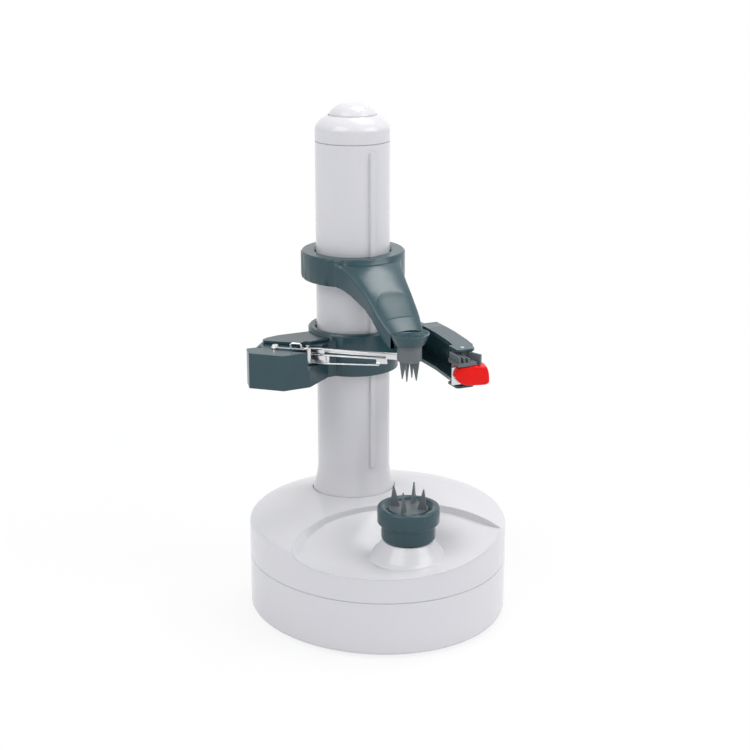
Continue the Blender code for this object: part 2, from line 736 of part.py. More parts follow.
def make_tray():
    inner = BASE_HALF_WIDTH - BASE_WALL
    profile = [(BASE_HALF_WIDTH, SEAM)]
    profile += arc(
        BASE_HALF_WIDTH - TRAY_EDGE_ROUND, TRAY_BOTTOM + TRAY_EDGE_ROUND, TRAY_EDGE_ROUND, 0, -90, 2
    )
    profile += [(0, TRAY_BOTTOM), (0, TRAY_FLOOR), (inner, TRAY_FLOOR), (inner, SEAM)]
    tray = ovalled(turned("tray", profile, WAIST, BASE_STEPS))
    root = TRAY_FLOOR - BASE_WALL / 2
    for index, place in enumerate(BASE_SCREW_PLACES):
        joined(tray, rod("boss", BASE_BOSS_RADIUS, root, SEAM, (*place, 0)))
    for place in POST_PLACES:
        joined(tray, rod("post", PLATE_POST_RADIUS, root, GEAR_PLATE_LEVEL - FIT, (*place, 0), 12))
    bearing = BEARING_WALL + SPINDLE_RADIUS + RUN
    joined(tray, rod("bearing", bearing, root, TRAY_FLOOR + BEARING_HEIGHT, (*SPINDLE_PLACE, 0)))
    bearing = BEARING_WALL + SCREW_RADIUS + RUN
    joined(tray, rod("bearing", bearing, root, TRAY_FLOOR + BEARING_HEIGHT, (*SCREW_PLACE, 0)))
    wall = BAY_RIB + FIT
    rim = box(
        "rim", (BAY_LOW[0] - wall, BAY_LOW[1] - wall, root),
        (BAY_HIGH[0] + wall, BAY_HIGH[1] + wall, TRAY_FLOOR + BAY_RIB_HEIGHT),
    )
    joined(tray, rim)
    cut(tray, box("opening", (*BAY_LOW, -OVERRUN), (*BAY_HIGH, TRAY_FLOOR + BAY_RIB_HEIGHT + OVERRUN)))
    for radius, place in ((SPINDLE_RADIUS, SPINDLE_PLACE), (SCREW_RADIUS, SCREW_PLACE)):
        cut(tray, rod("bore", radius + RUN, TRAY_FLOOR, SEAM, (*place, 0)))
    for place in BASE_SCREW_PLACES:
        cut(tray, rod("bore", BASE_SCREW_RADIUS + RUN, -OVERRUN, SEAM + OVERRUN, (*place, 0)))
        head = TRAY_BOTTOM + BASE_SCREW_HEAD_HEIGHT + FIT
        cut(tray, rod("sink", BASE_SCREW_HEAD_RADIUS + FIT, -OVERRUN, head, (*place, 0)))
    return finish(tray, "base_tray", "white_shell")


def make_feet():
    for index, place in enumerate(FOOT_PLACES):
        top = TRAY_BOTTOM - FIT
        profile = [
            (0, top), (FOOT_RADIUS, top), (FOOT_RADIUS, FOOT_HEIGHT / 4),
            (FOOT_RADIUS - FOOT_HEIGHT / 4, 0), (0, 0),
        ]
        finish(turned("foot", profile, (*place, 0), 12), f"foot_{index + 1}", "rubber")


def make_base_screws():
    for index, place in enumerate(BASE_SCREW_PLACES):
        head = TRAY_BOTTOM + BASE_SCREW_HEAD_HEIGHT
        profile = [
            (0, TRAY_BOTTOM + BASE_SCREW_LENGTH + BASE_SCREW_RADIUS * 2),
            (BASE_SCREW_RADIUS, TRAY_BOTTOM + BASE_SCREW_LENGTH), (BASE_SCREW_RADIUS, head),
            (BASE_SCREW_HEAD_RADIUS, head), (BASE_SCREW_HEAD_RADIUS, TRAY_BOTTOM + FIT),
            (0, TRAY_BOTTOM + FIT),
        ]
        screw = turned("screw", profile, (*place, 0), 12)
        finish(screw, f"base_screw_{index + 1}", "dark_steel")


def make_cover():
    cover = ovalled(turned("cover", crown_profile(0, COVER_BOTTOM), WAIST, BASE_STEPS))
    cut(cover, dish("dish", 0))
    cone_root = DISH_FLOOR_HEIGHT - BASE_WALL / 2
    slope = (CONE_FOOT_RADIUS - CONE_TOP_RADIUS) / (CONE_TOP_HEIGHT - DISH_FLOOR_HEIGHT)
    joined(cover, rod(
        "cone", CONE_FOOT_RADIUS + slope * BASE_WALL / 2, cone_root, CONE_TOP_HEIGHT,
        (*SPINDLE_PLACE, 0), ROUND_STEPS, CONE_TOP_RADIUS,
    ))
    void = crown_profile(BASE_WALL, COVER_BOTTOM - OVERRUN)
    void = ovalled(turned("void", void, WAIST, INNER_STEPS))
    cut(void, dish("dish", BASE_WALL, INNER_STEPS))
    for place in BASE_SCREW_PLACES:
        cut(void, rod("column", BASE_BOSS_RADIUS, 0, DECK_TOP, (*place, 0)))
    boss = TOWER_FOOT_RADIUS + TOWER_BOSS_MARGIN
    cut(void, rod("boss", boss, TOWER_SEAT - TOWER_BOSS_DEPTH, DECK_TOP, (*SCREW_PLACE, 0), ROUND_STEPS))
    cut(cover, void)
    seat = rod(
        "seat", TOWER_FOOT_RADIUS + FIT, TOWER_SEAT, DECK_TOP + OVERRUN, (*SCREW_PLACE, 0), ROUND_STEPS
    )
    cut(cover, seat)
    cut(cover, rod("bore", SPINDLE_RADIUS + RUN, SEAM, DECK_TOP, (*SPINDLE_PLACE, 0)))
    cut(cover, rod("bore", SCREW_RADIUS + RUN, SEAM, DECK_TOP, (*SCREW_PLACE, 0)))
    for place in BASE_SCREW_PLACES:
        top = TRAY_BOTTOM + BASE_SCREW_LENGTH + BASE_SCREW_RADIUS * 2 + FIT
        cut(cover, rod("pilot", BASE_SCREW_RADIUS + FIT, SEAM - OVERRUN, top, (*place, 0), 12))
    return finish(cover, "base_cover", "white_shell")


def make_battery_bay():
    door = box(
        "door", (BAY_LOW[0] + FIT, BAY_LOW[1] + FIT, TRAY_BOTTOM),
        (BAY_HIGH[0] - FIT, BAY_HIGH[1] - FIT, TRAY_FLOOR),
    )
    middle = ((BAY_LOW[0] + BAY_HIGH[0]) / 2, BAY_HIGH[1] - DOOR_NOTCH_RADIUS * 1.5)
    cut(door, rod(
        "notch", DOOR_NOTCH_RADIUS, TRAY_BOTTOM - OVERRUN, TRAY_BOTTOM + DOOR_NOTCH_DEPTH,
        (*middle, 0), 20,
    ))
    finish(door, "battery_door", "white_shell")
    for index in range(CELL_COUNT):
        centre = (
            BAY_LOW[0] + CELL_PITCH * (index + 0.5),
            WAIST_Y,
            TRAY_FLOOR + FIT + CELL_RADIUS,
        )
        half = CELL_LENGTH / 2
        shift = CELL_NIPPLE_LENGTH / 2
        profile = [
            (0, half - shift + CELL_NIPPLE_LENGTH), (CELL_NIPPLE_RADIUS, half - shift + CELL_NIPPLE_LENGTH),
            (CELL_NIPPLE_RADIUS, half - shift), (CELL_RADIUS, half - shift),
            (CELL_RADIUS, -half - shift), (0, -half - shift),
        ]
        cell = turned("cell", profile, centre, 12)
        facing = 1 if index % 2 else -1
        cell.data.transform(Matrix.Rotation(facing * math.pi / 2, 4, "X"))
        finish(cell, f"battery_cell_{index + 1}", "cell_foil")


# Gear train


def gear_outline(teeth, module, phase):
    """Involute teeth as a closed outline; one tooth's centre line lies at `phase`."""
    pitch_radius = module * teeth / 2
    base_radius = pitch_radius * math.cos(PRESSURE_ANGLE)
    tip_radius = pitch_radius + module * ADDENDUM_SHARE
    root_radius = pitch_radius - module * DEDENDUM_SHARE
    involute = math.tan(PRESSURE_ANGLE) - PRESSURE_ANGLE
    half_tooth = math.pi / (2 * teeth) - TOOTH_THINNING / (2 * pitch_radius)

    def half_angle(radius):
        if radius <= base_radius:
            return half_tooth + involute
        pressure = math.acos(base_radius / radius)
        return half_tooth + involute - (math.tan(pressure) - pressure)

    flank = (root_radius, pitch_radius, tip_radius)
    points = []
    for index in range(teeth):
        centre = phase + 2 * math.pi * index / teeth
        for radius in flank:
            points.append(toward(centre - half_angle(radius), radius))
        for radius in reversed(flank):
            points.append(toward(centre + half_angle(radius), radius))
    return points


def mesh_phase(place, teeth, mate_place, mate_teeth, mate_phase):
    """The phase that puts a gap of this gear over a tooth of its mate."""
    bearing = math.atan2(place[1] - mate_place[1], place[0] - mate_place[0])
    mate_turn = (bearing - mate_phase) * mate_teeth / (2 * math.pi)
    offset = mate_turn - math.floor(mate_turn)
    return bearing + math.pi + (offset + 0.5) * 2 * math.pi / teeth


def gear(name, teeth, module, phase, low, high, bore, place):
    wheel = plate(name, gear_outline(teeth, module, phase), low, high, (*place, 0))
    return cut(wheel, rod("bore", bore, low - OVERRUN, high + OVERRUN, (*place, 0)))


def make_gears():
    spindle_phase = 0.0
    idler_phase = mesh_phase(IDLER_PLACE, IDLER_TEETH, SPINDLE_PLACE, SPINDLE_TEETH, spindle_phase)
    screw_phase = mesh_phase(SCREW_PLACE, SCREW_TEETH, IDLER_PLACE, IDLER_TEETH, idler_phase)
    small_phase = mesh_phase(COMPOUND_PLACE, SMALL_TEETH, SPINDLE_PLACE, SPINDLE_TEETH, spindle_phase)
    large_phase = small_phase
    pinion_phase = mesh_phase(MOTOR_PLACE, PINION_TEETH, COMPOUND_PLACE, LARGE_TEETH, large_phase)
    finish(gear(
        "gear", SPINDLE_TEETH, SLOW_MODULE, spindle_phase, SLOW_LEVEL, SLOW_TOP,
        SPINDLE_RADIUS + FIT, SPINDLE_PLACE,
    ), "spindle_gear", "gear_nylon")
    finish(gear(
        "gear", SCREW_TEETH, SLOW_MODULE, screw_phase, SLOW_LEVEL, SLOW_TOP,
        SCREW_RADIUS + FIT, SCREW_PLACE,
    ), "screw_gear", "gear_nylon")
    finish(gear(
        "gear", IDLER_TEETH, SLOW_MODULE, idler_phase, SLOW_LEVEL, SLOW_TOP,
        AXLE_RADIUS + RUN, IDLER_PLACE,
    ), "idler_gear", "gear_nylon")
    small = plate(
        "small", gear_outline(SMALL_TEETH, SLOW_MODULE, small_phase),
        FAST_TOP - FAST_FACE / 4, SLOW_TOP, (*COMPOUND_PLACE, 0),
    )
    large = plate(
        "large", gear_outline(LARGE_TEETH, FAST_MODULE, large_phase),
        FAST_LEVEL, FAST_TOP, (*COMPOUND_PLACE, 0),
    )
    joined(large, small)
    cut(large, rod(
        "bore", AXLE_RADIUS + RUN, FAST_LEVEL - OVERRUN, SLOW_TOP + OVERRUN, (*COMPOUND_PLACE, 0)
    ))
    finish(large, "compound_gear", "gear_nylon")
    finish(gear(
        "gear", PINION_TEETH, FAST_MODULE, pinion_phase, FAST_LEVEL, FAST_TOP,
        MOTOR_SHAFT_RADIUS + FIT, MOTOR_PLACE,
    ), "motor_pinion", "gear_nylon")


def make_gear_plate():
    sheet = plate("sheet", PLATE_OUTLINE, GEAR_PLATE_LEVEL, PLATE_TOP)
    holes = (
        (SPINDLE_PLACE, SPINDLE_RADIUS + RUN), (SCREW_PLACE, SCREW_RADIUS + RUN),
        (IDLER_PLACE, AXLE_RADIUS + FIT), (COMPOUND_PLACE, AXLE_RADIUS + FIT),
        (MOTOR_PLACE, MOTOR_COLLAR_RADIUS + FIT),
    )
    for place, radius in holes:
        cut(sheet, rod("hole", radius, GEAR_PLATE_LEVEL - OVERRUN, PLATE_TOP + OVERRUN, (*place, 0)))
    finish(sheet, "gear_plate", "steel", smooth=False)


def make_axles():
    foot = GEAR_PLATE_LEVEL - AXLE_RADIUS
    head = AXLE_RADIUS + GEAR_PLATE_THICKNESS
    for name, place in (("idler_axle", IDLER_PLACE), ("compound_axle", COMPOUND_PLACE)):
        seat = GEAR_PLATE_LEVEL - FIT
        profile = [
            (0, SLOW_TOP + AXLE_RADIUS), (AXLE_RADIUS, SLOW_TOP + AXLE_RADIUS),
            (AXLE_RADIUS, seat), (head, seat), (head, foot), (0, foot),
        ]
        finish(turned("axle", profile, (*place, 0), PIN_STEPS), name, "steel")


def make_motor():
    top = GEAR_PLATE_LEVEL - FIT
    profile = [
        (0, top + MOTOR_COLLAR_HEIGHT), (MOTOR_COLLAR_RADIUS, top + MOTOR_COLLAR_HEIGHT),
        (MOTOR_COLLAR_RADIUS, top), (MOTOR_RADIUS, top),
        (MOTOR_RADIUS, top - MOTOR_LENGTH), (0, top - MOTOR_LENGTH),
    ]
    can = turned("can", profile, (*MOTOR_PLACE, 0), 24)
    cut(can, rod(
        "bore", MOTOR_SHAFT_RADIUS + RUN, top - MOTOR_LENGTH / 2, PLATE_TOP + OVERRUN, (*MOTOR_PLACE, 0)
    ))
    finish(can, "motor", "steel")
    shaft = rod(
        "shaft", MOTOR_SHAFT_RADIUS, top - MOTOR_LENGTH / 2 + RUN, FAST_TOP + MOTOR_SHAFT_RADIUS,
        (*MOTOR_PLACE, 0), 12,
    )
    finish(shaft, "motor_shaft", "steel")


def make_spindle():
    socket = CUP_BOTTOM_HEIGHT + CUP_SOCKET_DEPTH
    shaft = rod(
        "shaft", SPINDLE_RADIUS, TRAY_FLOOR + SPINDLE_FOOT_CLEAR, socket - FIT, (*SPINDLE_PLACE, 0), 20
    )
    finish(shaft, "spindle_shaft", "steel")
    dish_floor = CUP_TOP_HEIGHT - CUP_DISH_DEPTH
    profile = [
        (0, dish_floor), (SPIKE_PLATE_RADIUS + FIT, dish_floor), (CUP_DISH_RADIUS, CUP_TOP_HEIGHT),
    ]
    profile += arc(
        CUP_FLANGE_RADIUS - CUP_EDGE_ROUND, CUP_TOP_HEIGHT - CUP_EDGE_ROUND, CUP_EDGE_ROUND, 90, 0
    )
    profile += [
        (CUP_FLANGE_RADIUS, CUP_FLANGE_HEIGHT + CUP_EDGE_ROUND / 2),
        (CUP_FLANGE_RADIUS - CUP_EDGE_ROUND / 2, CUP_FLANGE_HEIGHT),
        (CUP_BARREL_RADIUS, CUP_FLANGE_HEIGHT - (CUP_FLANGE_RADIUS - CUP_BARREL_RADIUS) / 2),
    ]
    profile += arc(
        CUP_BARREL_RADIUS - CUP_EDGE_ROUND, CUP_BOTTOM_HEIGHT + CUP_EDGE_ROUND, CUP_EDGE_ROUND, 0, -90
    )
    profile += [
        (SPINDLE_RADIUS + FIT, CUP_BOTTOM_HEIGHT), (SPINDLE_RADIUS + FIT, socket), (0, socket),
    ]
    cup = turned("cup", profile, (*SPINDLE_PLACE, 0))
    finish(cup, "food_cup", "teal_grey")
    low = dish_floor + FIT
    spikes = rod("spikes", SPIKE_PLATE_RADIUS, low, low + SPIKE_PLATE_THICKNESS, (*SPINDLE_PLACE, 0), 24)
    top = low + SPIKE_HEIGHT
    for index in range(SPIKE_COUNT):
        angle = 2 * math.pi * index / SPIKE_COUNT + math.pi / SPIKE_COUNT
        inner = SPIKE_RING_RADIUS - SPIKE_WIDTH / 2
        outer = SPIKE_RING_RADIUS + SPIKE_WIDTH / 2
        half = SPIKE_THICKNESS / 2
        tip = SPIKE_THICKNESS / 6
        base = low + SPIKE_PLATE_THICKNESS / 2
        foot = [(inner, -half, base), (outer, -half, base), (outer, half, base), (inner, half, base)]
        middle = SPIKE_RING_RADIUS + SPIKE_WIDTH / 6
        head = [
            (middle - tip, -tip, top), (middle + tip, -tip, top),
            (middle + tip, tip, top), (middle - tip, tip, top),
        ]
        prong = loft("prong", (foot, head), (*SPINDLE_PLACE, 0))
        joined(spikes, turned_about_z(prong, angle))
    finish(spikes, "food_spikes", "grey_plastic", smooth=False)


# Tower


def make_tower():
    bottom = TOWER_SEAT + FIT
    inner = TOWER_RADIUS - TOWER_WALL
    flare = TOWER_FOOT_RADIUS - TOWER_RADIUS
    foot_top = DECK_TOP + TOWER_FOOT_HEIGHT
    profile = [(TOWER_RADIUS, TOWER_SEAM_HEIGHT), (TOWER_RADIUS, foot_top)]
    for index in range(1, 4):
        share = index / 4
        profile.append((TOWER_RADIUS + flare * share ** 2, foot_top - TOWER_FOOT_HEIGHT * share))
    profile += [(TOWER_FOOT_RADIUS, DECK_TOP), (TOWER_FOOT_RADIUS, bottom), (inner, bottom)]
    profile += [(inner, TOWER_SEAM_HEIGHT)]
    tube = turned("tube", profile, (*SCREW_PLACE, 0))
    rib_low = foot_top + RIB_FOOT_CLEAR
    rib_high = TOWER_SEAM_HEIGHT - RIB_TOP_SHORT
    half = RIB_WIDTH / 2
    outer = TOWER_RADIUS + RIB_PROUD
    root = TOWER_RADIUS - TOWER_WALL / 2
    rib = box("rib", (-half, -outer, rib_low), (half, -root, rib_high - half), (*SCREW_PLACE, 0))
    round_top = rod("round", half, -outer, -root, (0, 0, 0))
    round_top.data.transform(Matrix.Rotation(-math.pi / 2, 4, "X"))
    round_top.data.transform(Matrix.Translation((0, 0, rib_high - half)))
    round_top.location = (*SCREW_PLACE, 0)
    joined(rib, round_top)
    joined(tube, turned_about_z(rib, RIB_AZIMUTH))
    slot = box(
        "slot", (-SLOT_WIDTH / 2, 0, SLOT_LOW), (SLOT_WIDTH / 2, TOWER_RADIUS + OVERRUN, SLOT_HIGH),
        (*SCREW_PLACE, 0),
    )
    cut(tube, slot)
    finish(tube, "tower_tube", "white_shell")


def make_lead_screw():
    screw = turned("screw", [
        (0, SCREW_TOP_HEIGHT), (SCREW_RADIUS - RUN, SCREW_TOP_HEIGHT), (SCREW_RADIUS, SCREW_TOP_HEIGHT - RUN),
        (SCREW_RADIUS, TRAY_FLOOR + SPINDLE_FOOT_CLEAR), (0, TRAY_FLOOR + SPINDLE_FOOT_CLEAR),
    ], (*SCREW_PLACE, 0), 20)
    finish(screw, "lead_screw", "steel")
    inner = TOWER_RADIUS - TOWER_WALL - FIT
    low = SCREW_TOP_HEIGHT - TOP_BEARING_THICKNESS
    bearing = turned("bearing", [
        (inner, SCREW_TOP_HEIGHT + TOP_BEARING_THICKNESS), (inner, low), (SCREW_RADIUS + RUN, low),
        (SCREW_RADIUS + RUN, SCREW_TOP_HEIGHT + FIT), (0, SCREW_TOP_HEIGHT + FIT),
        (0, SCREW_TOP_HEIGHT + TOP_BEARING_THICKNESS),
    ], (*SCREW_PLACE, 0), 24)
    finish(bearing, "top_bearing", "grey_plastic")


def make_cap():
    hole = BUTTON_RADIUS + RUN
    spigot = TOWER_RADIUS - TOWER_WALL - FIT
    profile = [(hole, CAP_DOME_TOP)]
    run = TOWER_RADIUS - hole
    for share_out, share_up in CAP_DOME_SHARES:
        profile.append((hole + run * share_out, CAP_SIDE_TOP + CAP_DOME_HEIGHT * share_up))
    profile += [
        (TOWER_RADIUS, CAP_SIDE_TOP), (TOWER_RADIUS, CAP_SEAM), (spigot, CAP_SEAM),
        (spigot, CAP_SEAM - CAP_SPIGOT_LENGTH), (spigot - CAP_WALL, CAP_SEAM - CAP_SPIGOT_LENGTH),
        (spigot - CAP_WALL / 2, CAP_SIDE_TOP),
    ]
    inner_top = CAP_DOME_TOP - CAP_WALL
    profile += [(hole + BUTTON_FLANGE * 2, inner_top - CAP_WALL / 4), (hole, inner_top)]
    finish(turned("cap", profile, (*SCREW_PLACE, 0)), "tower_cap", "white_shell")
    flange_top = inner_top - CAP_WALL / 4 - FIT * 2
    flange = BUTTON_RADIUS + BUTTON_FLANGE
    side_top = CAP_DOME_TOP + BUTTON_SIDE
    apex = side_top + BUTTON_DOME
    switch_top = SCREW_TOP_HEIGHT + TOP_BEARING_THICKNESS + FIT + SWITCH_SIZE[2]
    stem_low = switch_top + BUTTON_TRAVEL + FIT
    skin = BUTTON_SKIN
    profile = [(0, apex)]
    for share in (0.45, 0.80):
        profile.append((BUTTON_RADIUS * share, side_top + BUTTON_DOME * (1 - share ** 2)))
    profile += [
        (BUTTON_RADIUS, side_top), (BUTTON_RADIUS, flange_top), (flange, flange_top),
        (flange, flange_top - skin), (BUTTON_RADIUS - skin, flange_top - skin),
        (BUTTON_RADIUS - skin, side_top - skin), (BUTTON_STEM_RADIUS, side_top - skin),
        (BUTTON_STEM_RADIUS, stem_low), (0, stem_low),
    ]
    finish(turned("button", profile, (*SCREW_PLACE, 0)), "power_button", "white_shell")
    low = switch_top - SWITCH_SIZE[2]
    half_x, half_y = SWITCH_SIZE[0] / 2, SWITCH_SIZE[1] / 2
    switch = box("switch", (-half_x, -half_y, low), (half_x, half_y, switch_top), (*SCREW_PLACE, 0))
    finish(switch, "power_switch", "switch_black", smooth=False)


# Collars


def keyway(name, low, high):
    """Room for the tower's rib in a collar's bore."""
    half = RIB_WIDTH / 2 + RUN
    outer = TOWER_RADIUS + RIB_PROUD + RUN
    block = box(name, (-half, -outer, low - OVERRUN), (half, 0, high + OVERRUN), (*SCREW_PLACE, 0))
    return turned_about_z(block, RIB_AZIMUTH)


def fluted_collar(name, radius, low, high):
    """A collar whose sides carry upright grip flutes."""
    count = 60
    def ring(grow, height, fluted):
        points = []
        for index in range(count):
            angle = 2 * math.pi * index / count
            reach = radius + grow
            if fluted and FLUTE_FROM < angle < FLUTE_TO and index % 2:
                reach -= FLUTE_DEPTH
            points.append((*toward(angle, reach), height))
        return points
    chamfer = COLLAR_CHAMFER
    sections = (
        ring(-chamfer, low, False), ring(0, low + chamfer, True),
        ring(0, high - chamfer, True), ring(-chamfer, high, False),
    )
    return loft(name, sections, (*SCREW_PLACE, 0))


def arm_section(y, top, width, wall, skin=ARM_SKIN):
    """One channel section of the holder arm: crowned skin with a wall on each side."""
    half = width / 2
    crown = ARM_CROWN * width / ARM_ROOT_WIDTH
    outer = [(half, top - wall), (half, top - skin / 2), (half * 0.86, top + crown * 0.35)]
    outer += [(half * 0.5, top + crown * 0.8), (0, top + crown)]
    left = [(-x, z) for x, z in reversed(outer[:-1])]
    inner_half = half - skin
    inner = [(-inner_half, top - wall), (-inner_half, top - skin), (0, top - skin + crown)]
    inner += [(inner_half, top - skin), (inner_half, top - wall)]
    return [(x, y, z) for x, z in outer + left + inner]


# Arm stations: share of the way from tower to hub, share of the drop, width share, wall depth
ARM_STATION_SHARES = (
    (0.120, 0.000, 1.200, 0.0120), (0.285, 0.000, 1.150, 0.0120), (0.345, 0.055, 1.030, 0.0115),
    (0.439, 0.175, 0.925, 0.0105), (0.535, 0.330, 0.845, 0.0094), (0.640, 0.510, 0.784, 0.0078),
    (0.715, 0.668, 0.746, 0.0070), (0.793, 0.835, 0.709, 0.0076), (0.880, 1.025, 0.640, 0.0084), (0.960, 1.190, 0.560, 0.0074),
)


def make_holder():
    chamfer = COLLAR_CHAMFER
    stations = []
    for along, drop, width, wall in ARM_STATION_SHARES:
        y = -along * AXES_DISTANCE
        top = HOLDER_TOP_HEIGHT - chamfer * 3 - ARM_DROP * drop
        stations.append(arm_section(y, top, width * ARM_ROOT_WIDTH, wall))
    holder = fluted_collar("holder", HOLDER_COLLAR_RADIUS, HOLDER_BOTTOM, HOLDER_TOP_HEIGHT)
    arm = loft("arm", stations, (*SCREW_PLACE, 0))
    joined(holder, arm)
    hub = turned("hub", [
        (0, HUB_TOP_HEIGHT - HUB_DISH), (HUB_TOP_RADIUS - HUB_RIM * 2, HUB_TOP_HEIGHT - HUB_DISH),
        (HUB_TOP_RADIUS - HUB_RIM, HUB_TOP_HEIGHT), (HUB_TOP_RADIUS, HUB_TOP_HEIGHT),
        (HUB_BOTTOM_RADIUS, HUB_BOTTOM_HEIGHT), (0, HUB_BOTTOM_HEIGHT),
    ], (*SPINDLE_PLACE, 0), 32)
    joined(holder, hub)
    low, high = HOLDER_BOTTOM, HOLDER_TOP_HEIGHT
    cut(holder, turned("bore", [
        (0, high + OVERRUN), (COLLAR_BORE + chamfer, high + OVERRUN), (COLLAR_BORE + chamfer, high),
        (COLLAR_BORE, high - chamfer), (COLLAR_BORE, low - OVERRUN), (0, low - OVERRUN),
    ], (*SCREW_PLACE, 0)))
    cut(holder, keyway("keyway", low, high))
    pin_top = HUB_BOTTOM_HEIGHT + SPIKE_PIN_DEPTH
    cut(holder, rod(
        "socket", SPIKE_PIN_RADIUS + RUN, HUB_BOTTOM_HEIGHT - OVERRUN, pin_top + FIT, (*SPINDLE_PLACE, 0)
    ))
    middle = (HOLDER_BOTTOM + HOLDER_TOP_HEIGHT) / 2
    half_x, half_z = RELEASE_WIDTH / 2, RELEASE_HEIGHT / 2
    pocket = box(
        "pocket", (-half_x - FIT, RELEASE_FACE - RELEASE_DEPTH - RELEASE_TRAVEL - FIT, middle - half_z - FIT),
        (half_x + FIT, HOLDER_COLLAR_RADIUS + OVERRUN, middle + half_z + FIT), (*SCREW_PLACE, 0),
    )
    cut(holder, pocket)
    finish(holder, "holder_arm", "teal_grey")
    button = box(
        "button", (-half_x, RELEASE_FACE - RELEASE_DEPTH, middle - half_z),
        (half_x, HOLDER_COLLAR_RADIUS + RELEASE_PROUD, middle + half_z), (*SCREW_PLACE, 0),
    )
    finish(softened(button, RELEASE_PROUD / 4), "holder_release", "grey_plastic")


def make_top_spike():
    top = HUB_BOTTOM_HEIGHT - FIT
    low = top - TOP_SPIKE_LENGTH
    core = TOP_SPIKE_RADIUS * TOP_SPIKE_CORE_SHARE
    spike = turned("spike", [
        (0, top), (TOP_SPIKE_RADIUS, top), (TOP_SPIKE_RADIUS, low + TOP_SPIKE_EDGE),
        (TOP_SPIKE_RADIUS - TOP_SPIKE_EDGE, low), (0, low),
    ], (*SPINDLE_PLACE, 0), 24)
    for index in range(PRONG_COUNT):
        half = PRONG_THICKNESS / 2
        tip = PRONG_THICKNESS / 6
        start = low + TOP_SPIKE_EDGE * 2
        root = [
            (core / 3, -half, start), (core, -half, start),
            (core, half, start), (core / 3, half, start),
        ]
        neck = [(x, y, low - TOP_SPIKE_EDGE) for x, y, _ in root]
        middle = TOP_SPIKE_RADIUS * 0.6
        point = [
            (middle - tip, -tip, low - PRONG_LENGTH), (middle + tip, -tip, low - PRONG_LENGTH),
            (middle + tip, tip, low - PRONG_LENGTH), (middle - tip, tip, low - PRONG_LENGTH),
        ]
        prong = loft("prong", (root, neck, point), (*SPINDLE_PLACE, 0))
        joined(spike, turned_about_z(prong, 2 * math.pi * index / PRONG_COUNT + math.pi / PRONG_COUNT))
    socket = low + PRONG_THICKNESS
    cut(spike, rod("socket", SPIKE_PIN_RADIUS + FIT, socket, top + OVERRUN, (*SPINDLE_PLACE, 0)))
    finish(spike, "top_spike", "grey_plastic")
    pin = rod(
        "pin", SPIKE_PIN_RADIUS, socket + FIT, HUB_BOTTOM_HEIGHT + SPIKE_PIN_DEPTH - FIT,
        (*SPINDLE_PLACE, 0),
    )
    finish(pin, "top_spike_pin", "steel")


# Carriage


def outrigger_point(share):
    """A plan point of the outrigger, from its shares of reach and depth, from the tower axis."""
    return (-share[0] * OUTRIGGER_REACH, share[1] * OUTRIGGER_DEPTH - OUTRIGGER_FRONT)


OUTRIGGER_OUTLINE = [outrigger_point(share) for share in OUTRIGGER_SHARES]
STRIP_PIN_POINT = outrigger_point(STRIP_PIN_SHARE)
STRIP_PIN_PLACE = (STRIP_PIN_POINT[0], TOWER_Y + STRIP_PIN_POINT[1])
POST_POINT = outrigger_point(POST_SHARE)
EYE_POINT = outrigger_point(EYE_SHARE)
PIVOT_POINT = (PIVOT_X, PIVOT_Y - TOWER_Y)
STRIP_TOP = OUTRIGGER_TOP - STRIP_TOP_DROP
STRIP_BOTTOM = STRIP_TOP - STRIP_ROOT_HEIGHT
ARM_BOTTOM = CARRIAGE_BOTTOM_HEIGHT
LUG_LOW_TOP = CARRIAGE_BOTTOM_HEIGHT + PIVOT_LUG_THICKNESS
LUG_HIGH_BOTTOM = BLADE_ARM_TOP_HEIGHT - PIVOT_LUG_THICKNESS
SLOT_LOW = DECK_TOP + TOWER_FOOT_HEIGHT + RIB_FOOT_CLEAR
NUT_MIDDLE = CARRIAGE_BOTTOM_HEIGHT + CARRIAGE_COLLAR_HEIGHT / 2
SLOT_HIGH = NUT_MIDDLE + KEY_HEIGHT / 2 + CARRIAGE_UP + OVERRUN


def strip_gate(grow):
    """The room that the strip sweeps in the outrigger, grown by a wall round it."""
    at = (*STRIP_PIN_PLACE, 0)
    low = STRIP_BOTTOM - RUN - grow
    high = CARRIAGE_TOP + OVERRUN
    half = STRIP_DEPTH / 2 + RUN + grow
    length = OUTRIGGER_REACH / 2
    first = STRIP_BEARING
    last = STRIP_BEARING - STRIP_GATE_SWEEP
    outline = [
        toward(first + math.pi / 2, half), toward(first + math.pi / 2, half, toward(first, length)),
        toward(last - math.pi / 2, half, toward(last, length)), toward(last - math.pi / 2, half),
    ]
    gate = plate("gate", outline, low, high, at)
    joined(gate, rod("round", STRIP_BARREL_RADIUS + RUN + grow, low, high, at))
    ring = rod("keep", CARRIAGE_COLLAR_RADIUS + FIT, 0, high * 2, (*SCREW_PLACE, 0), ROUND_STEPS)
    return cut(gate, ring)


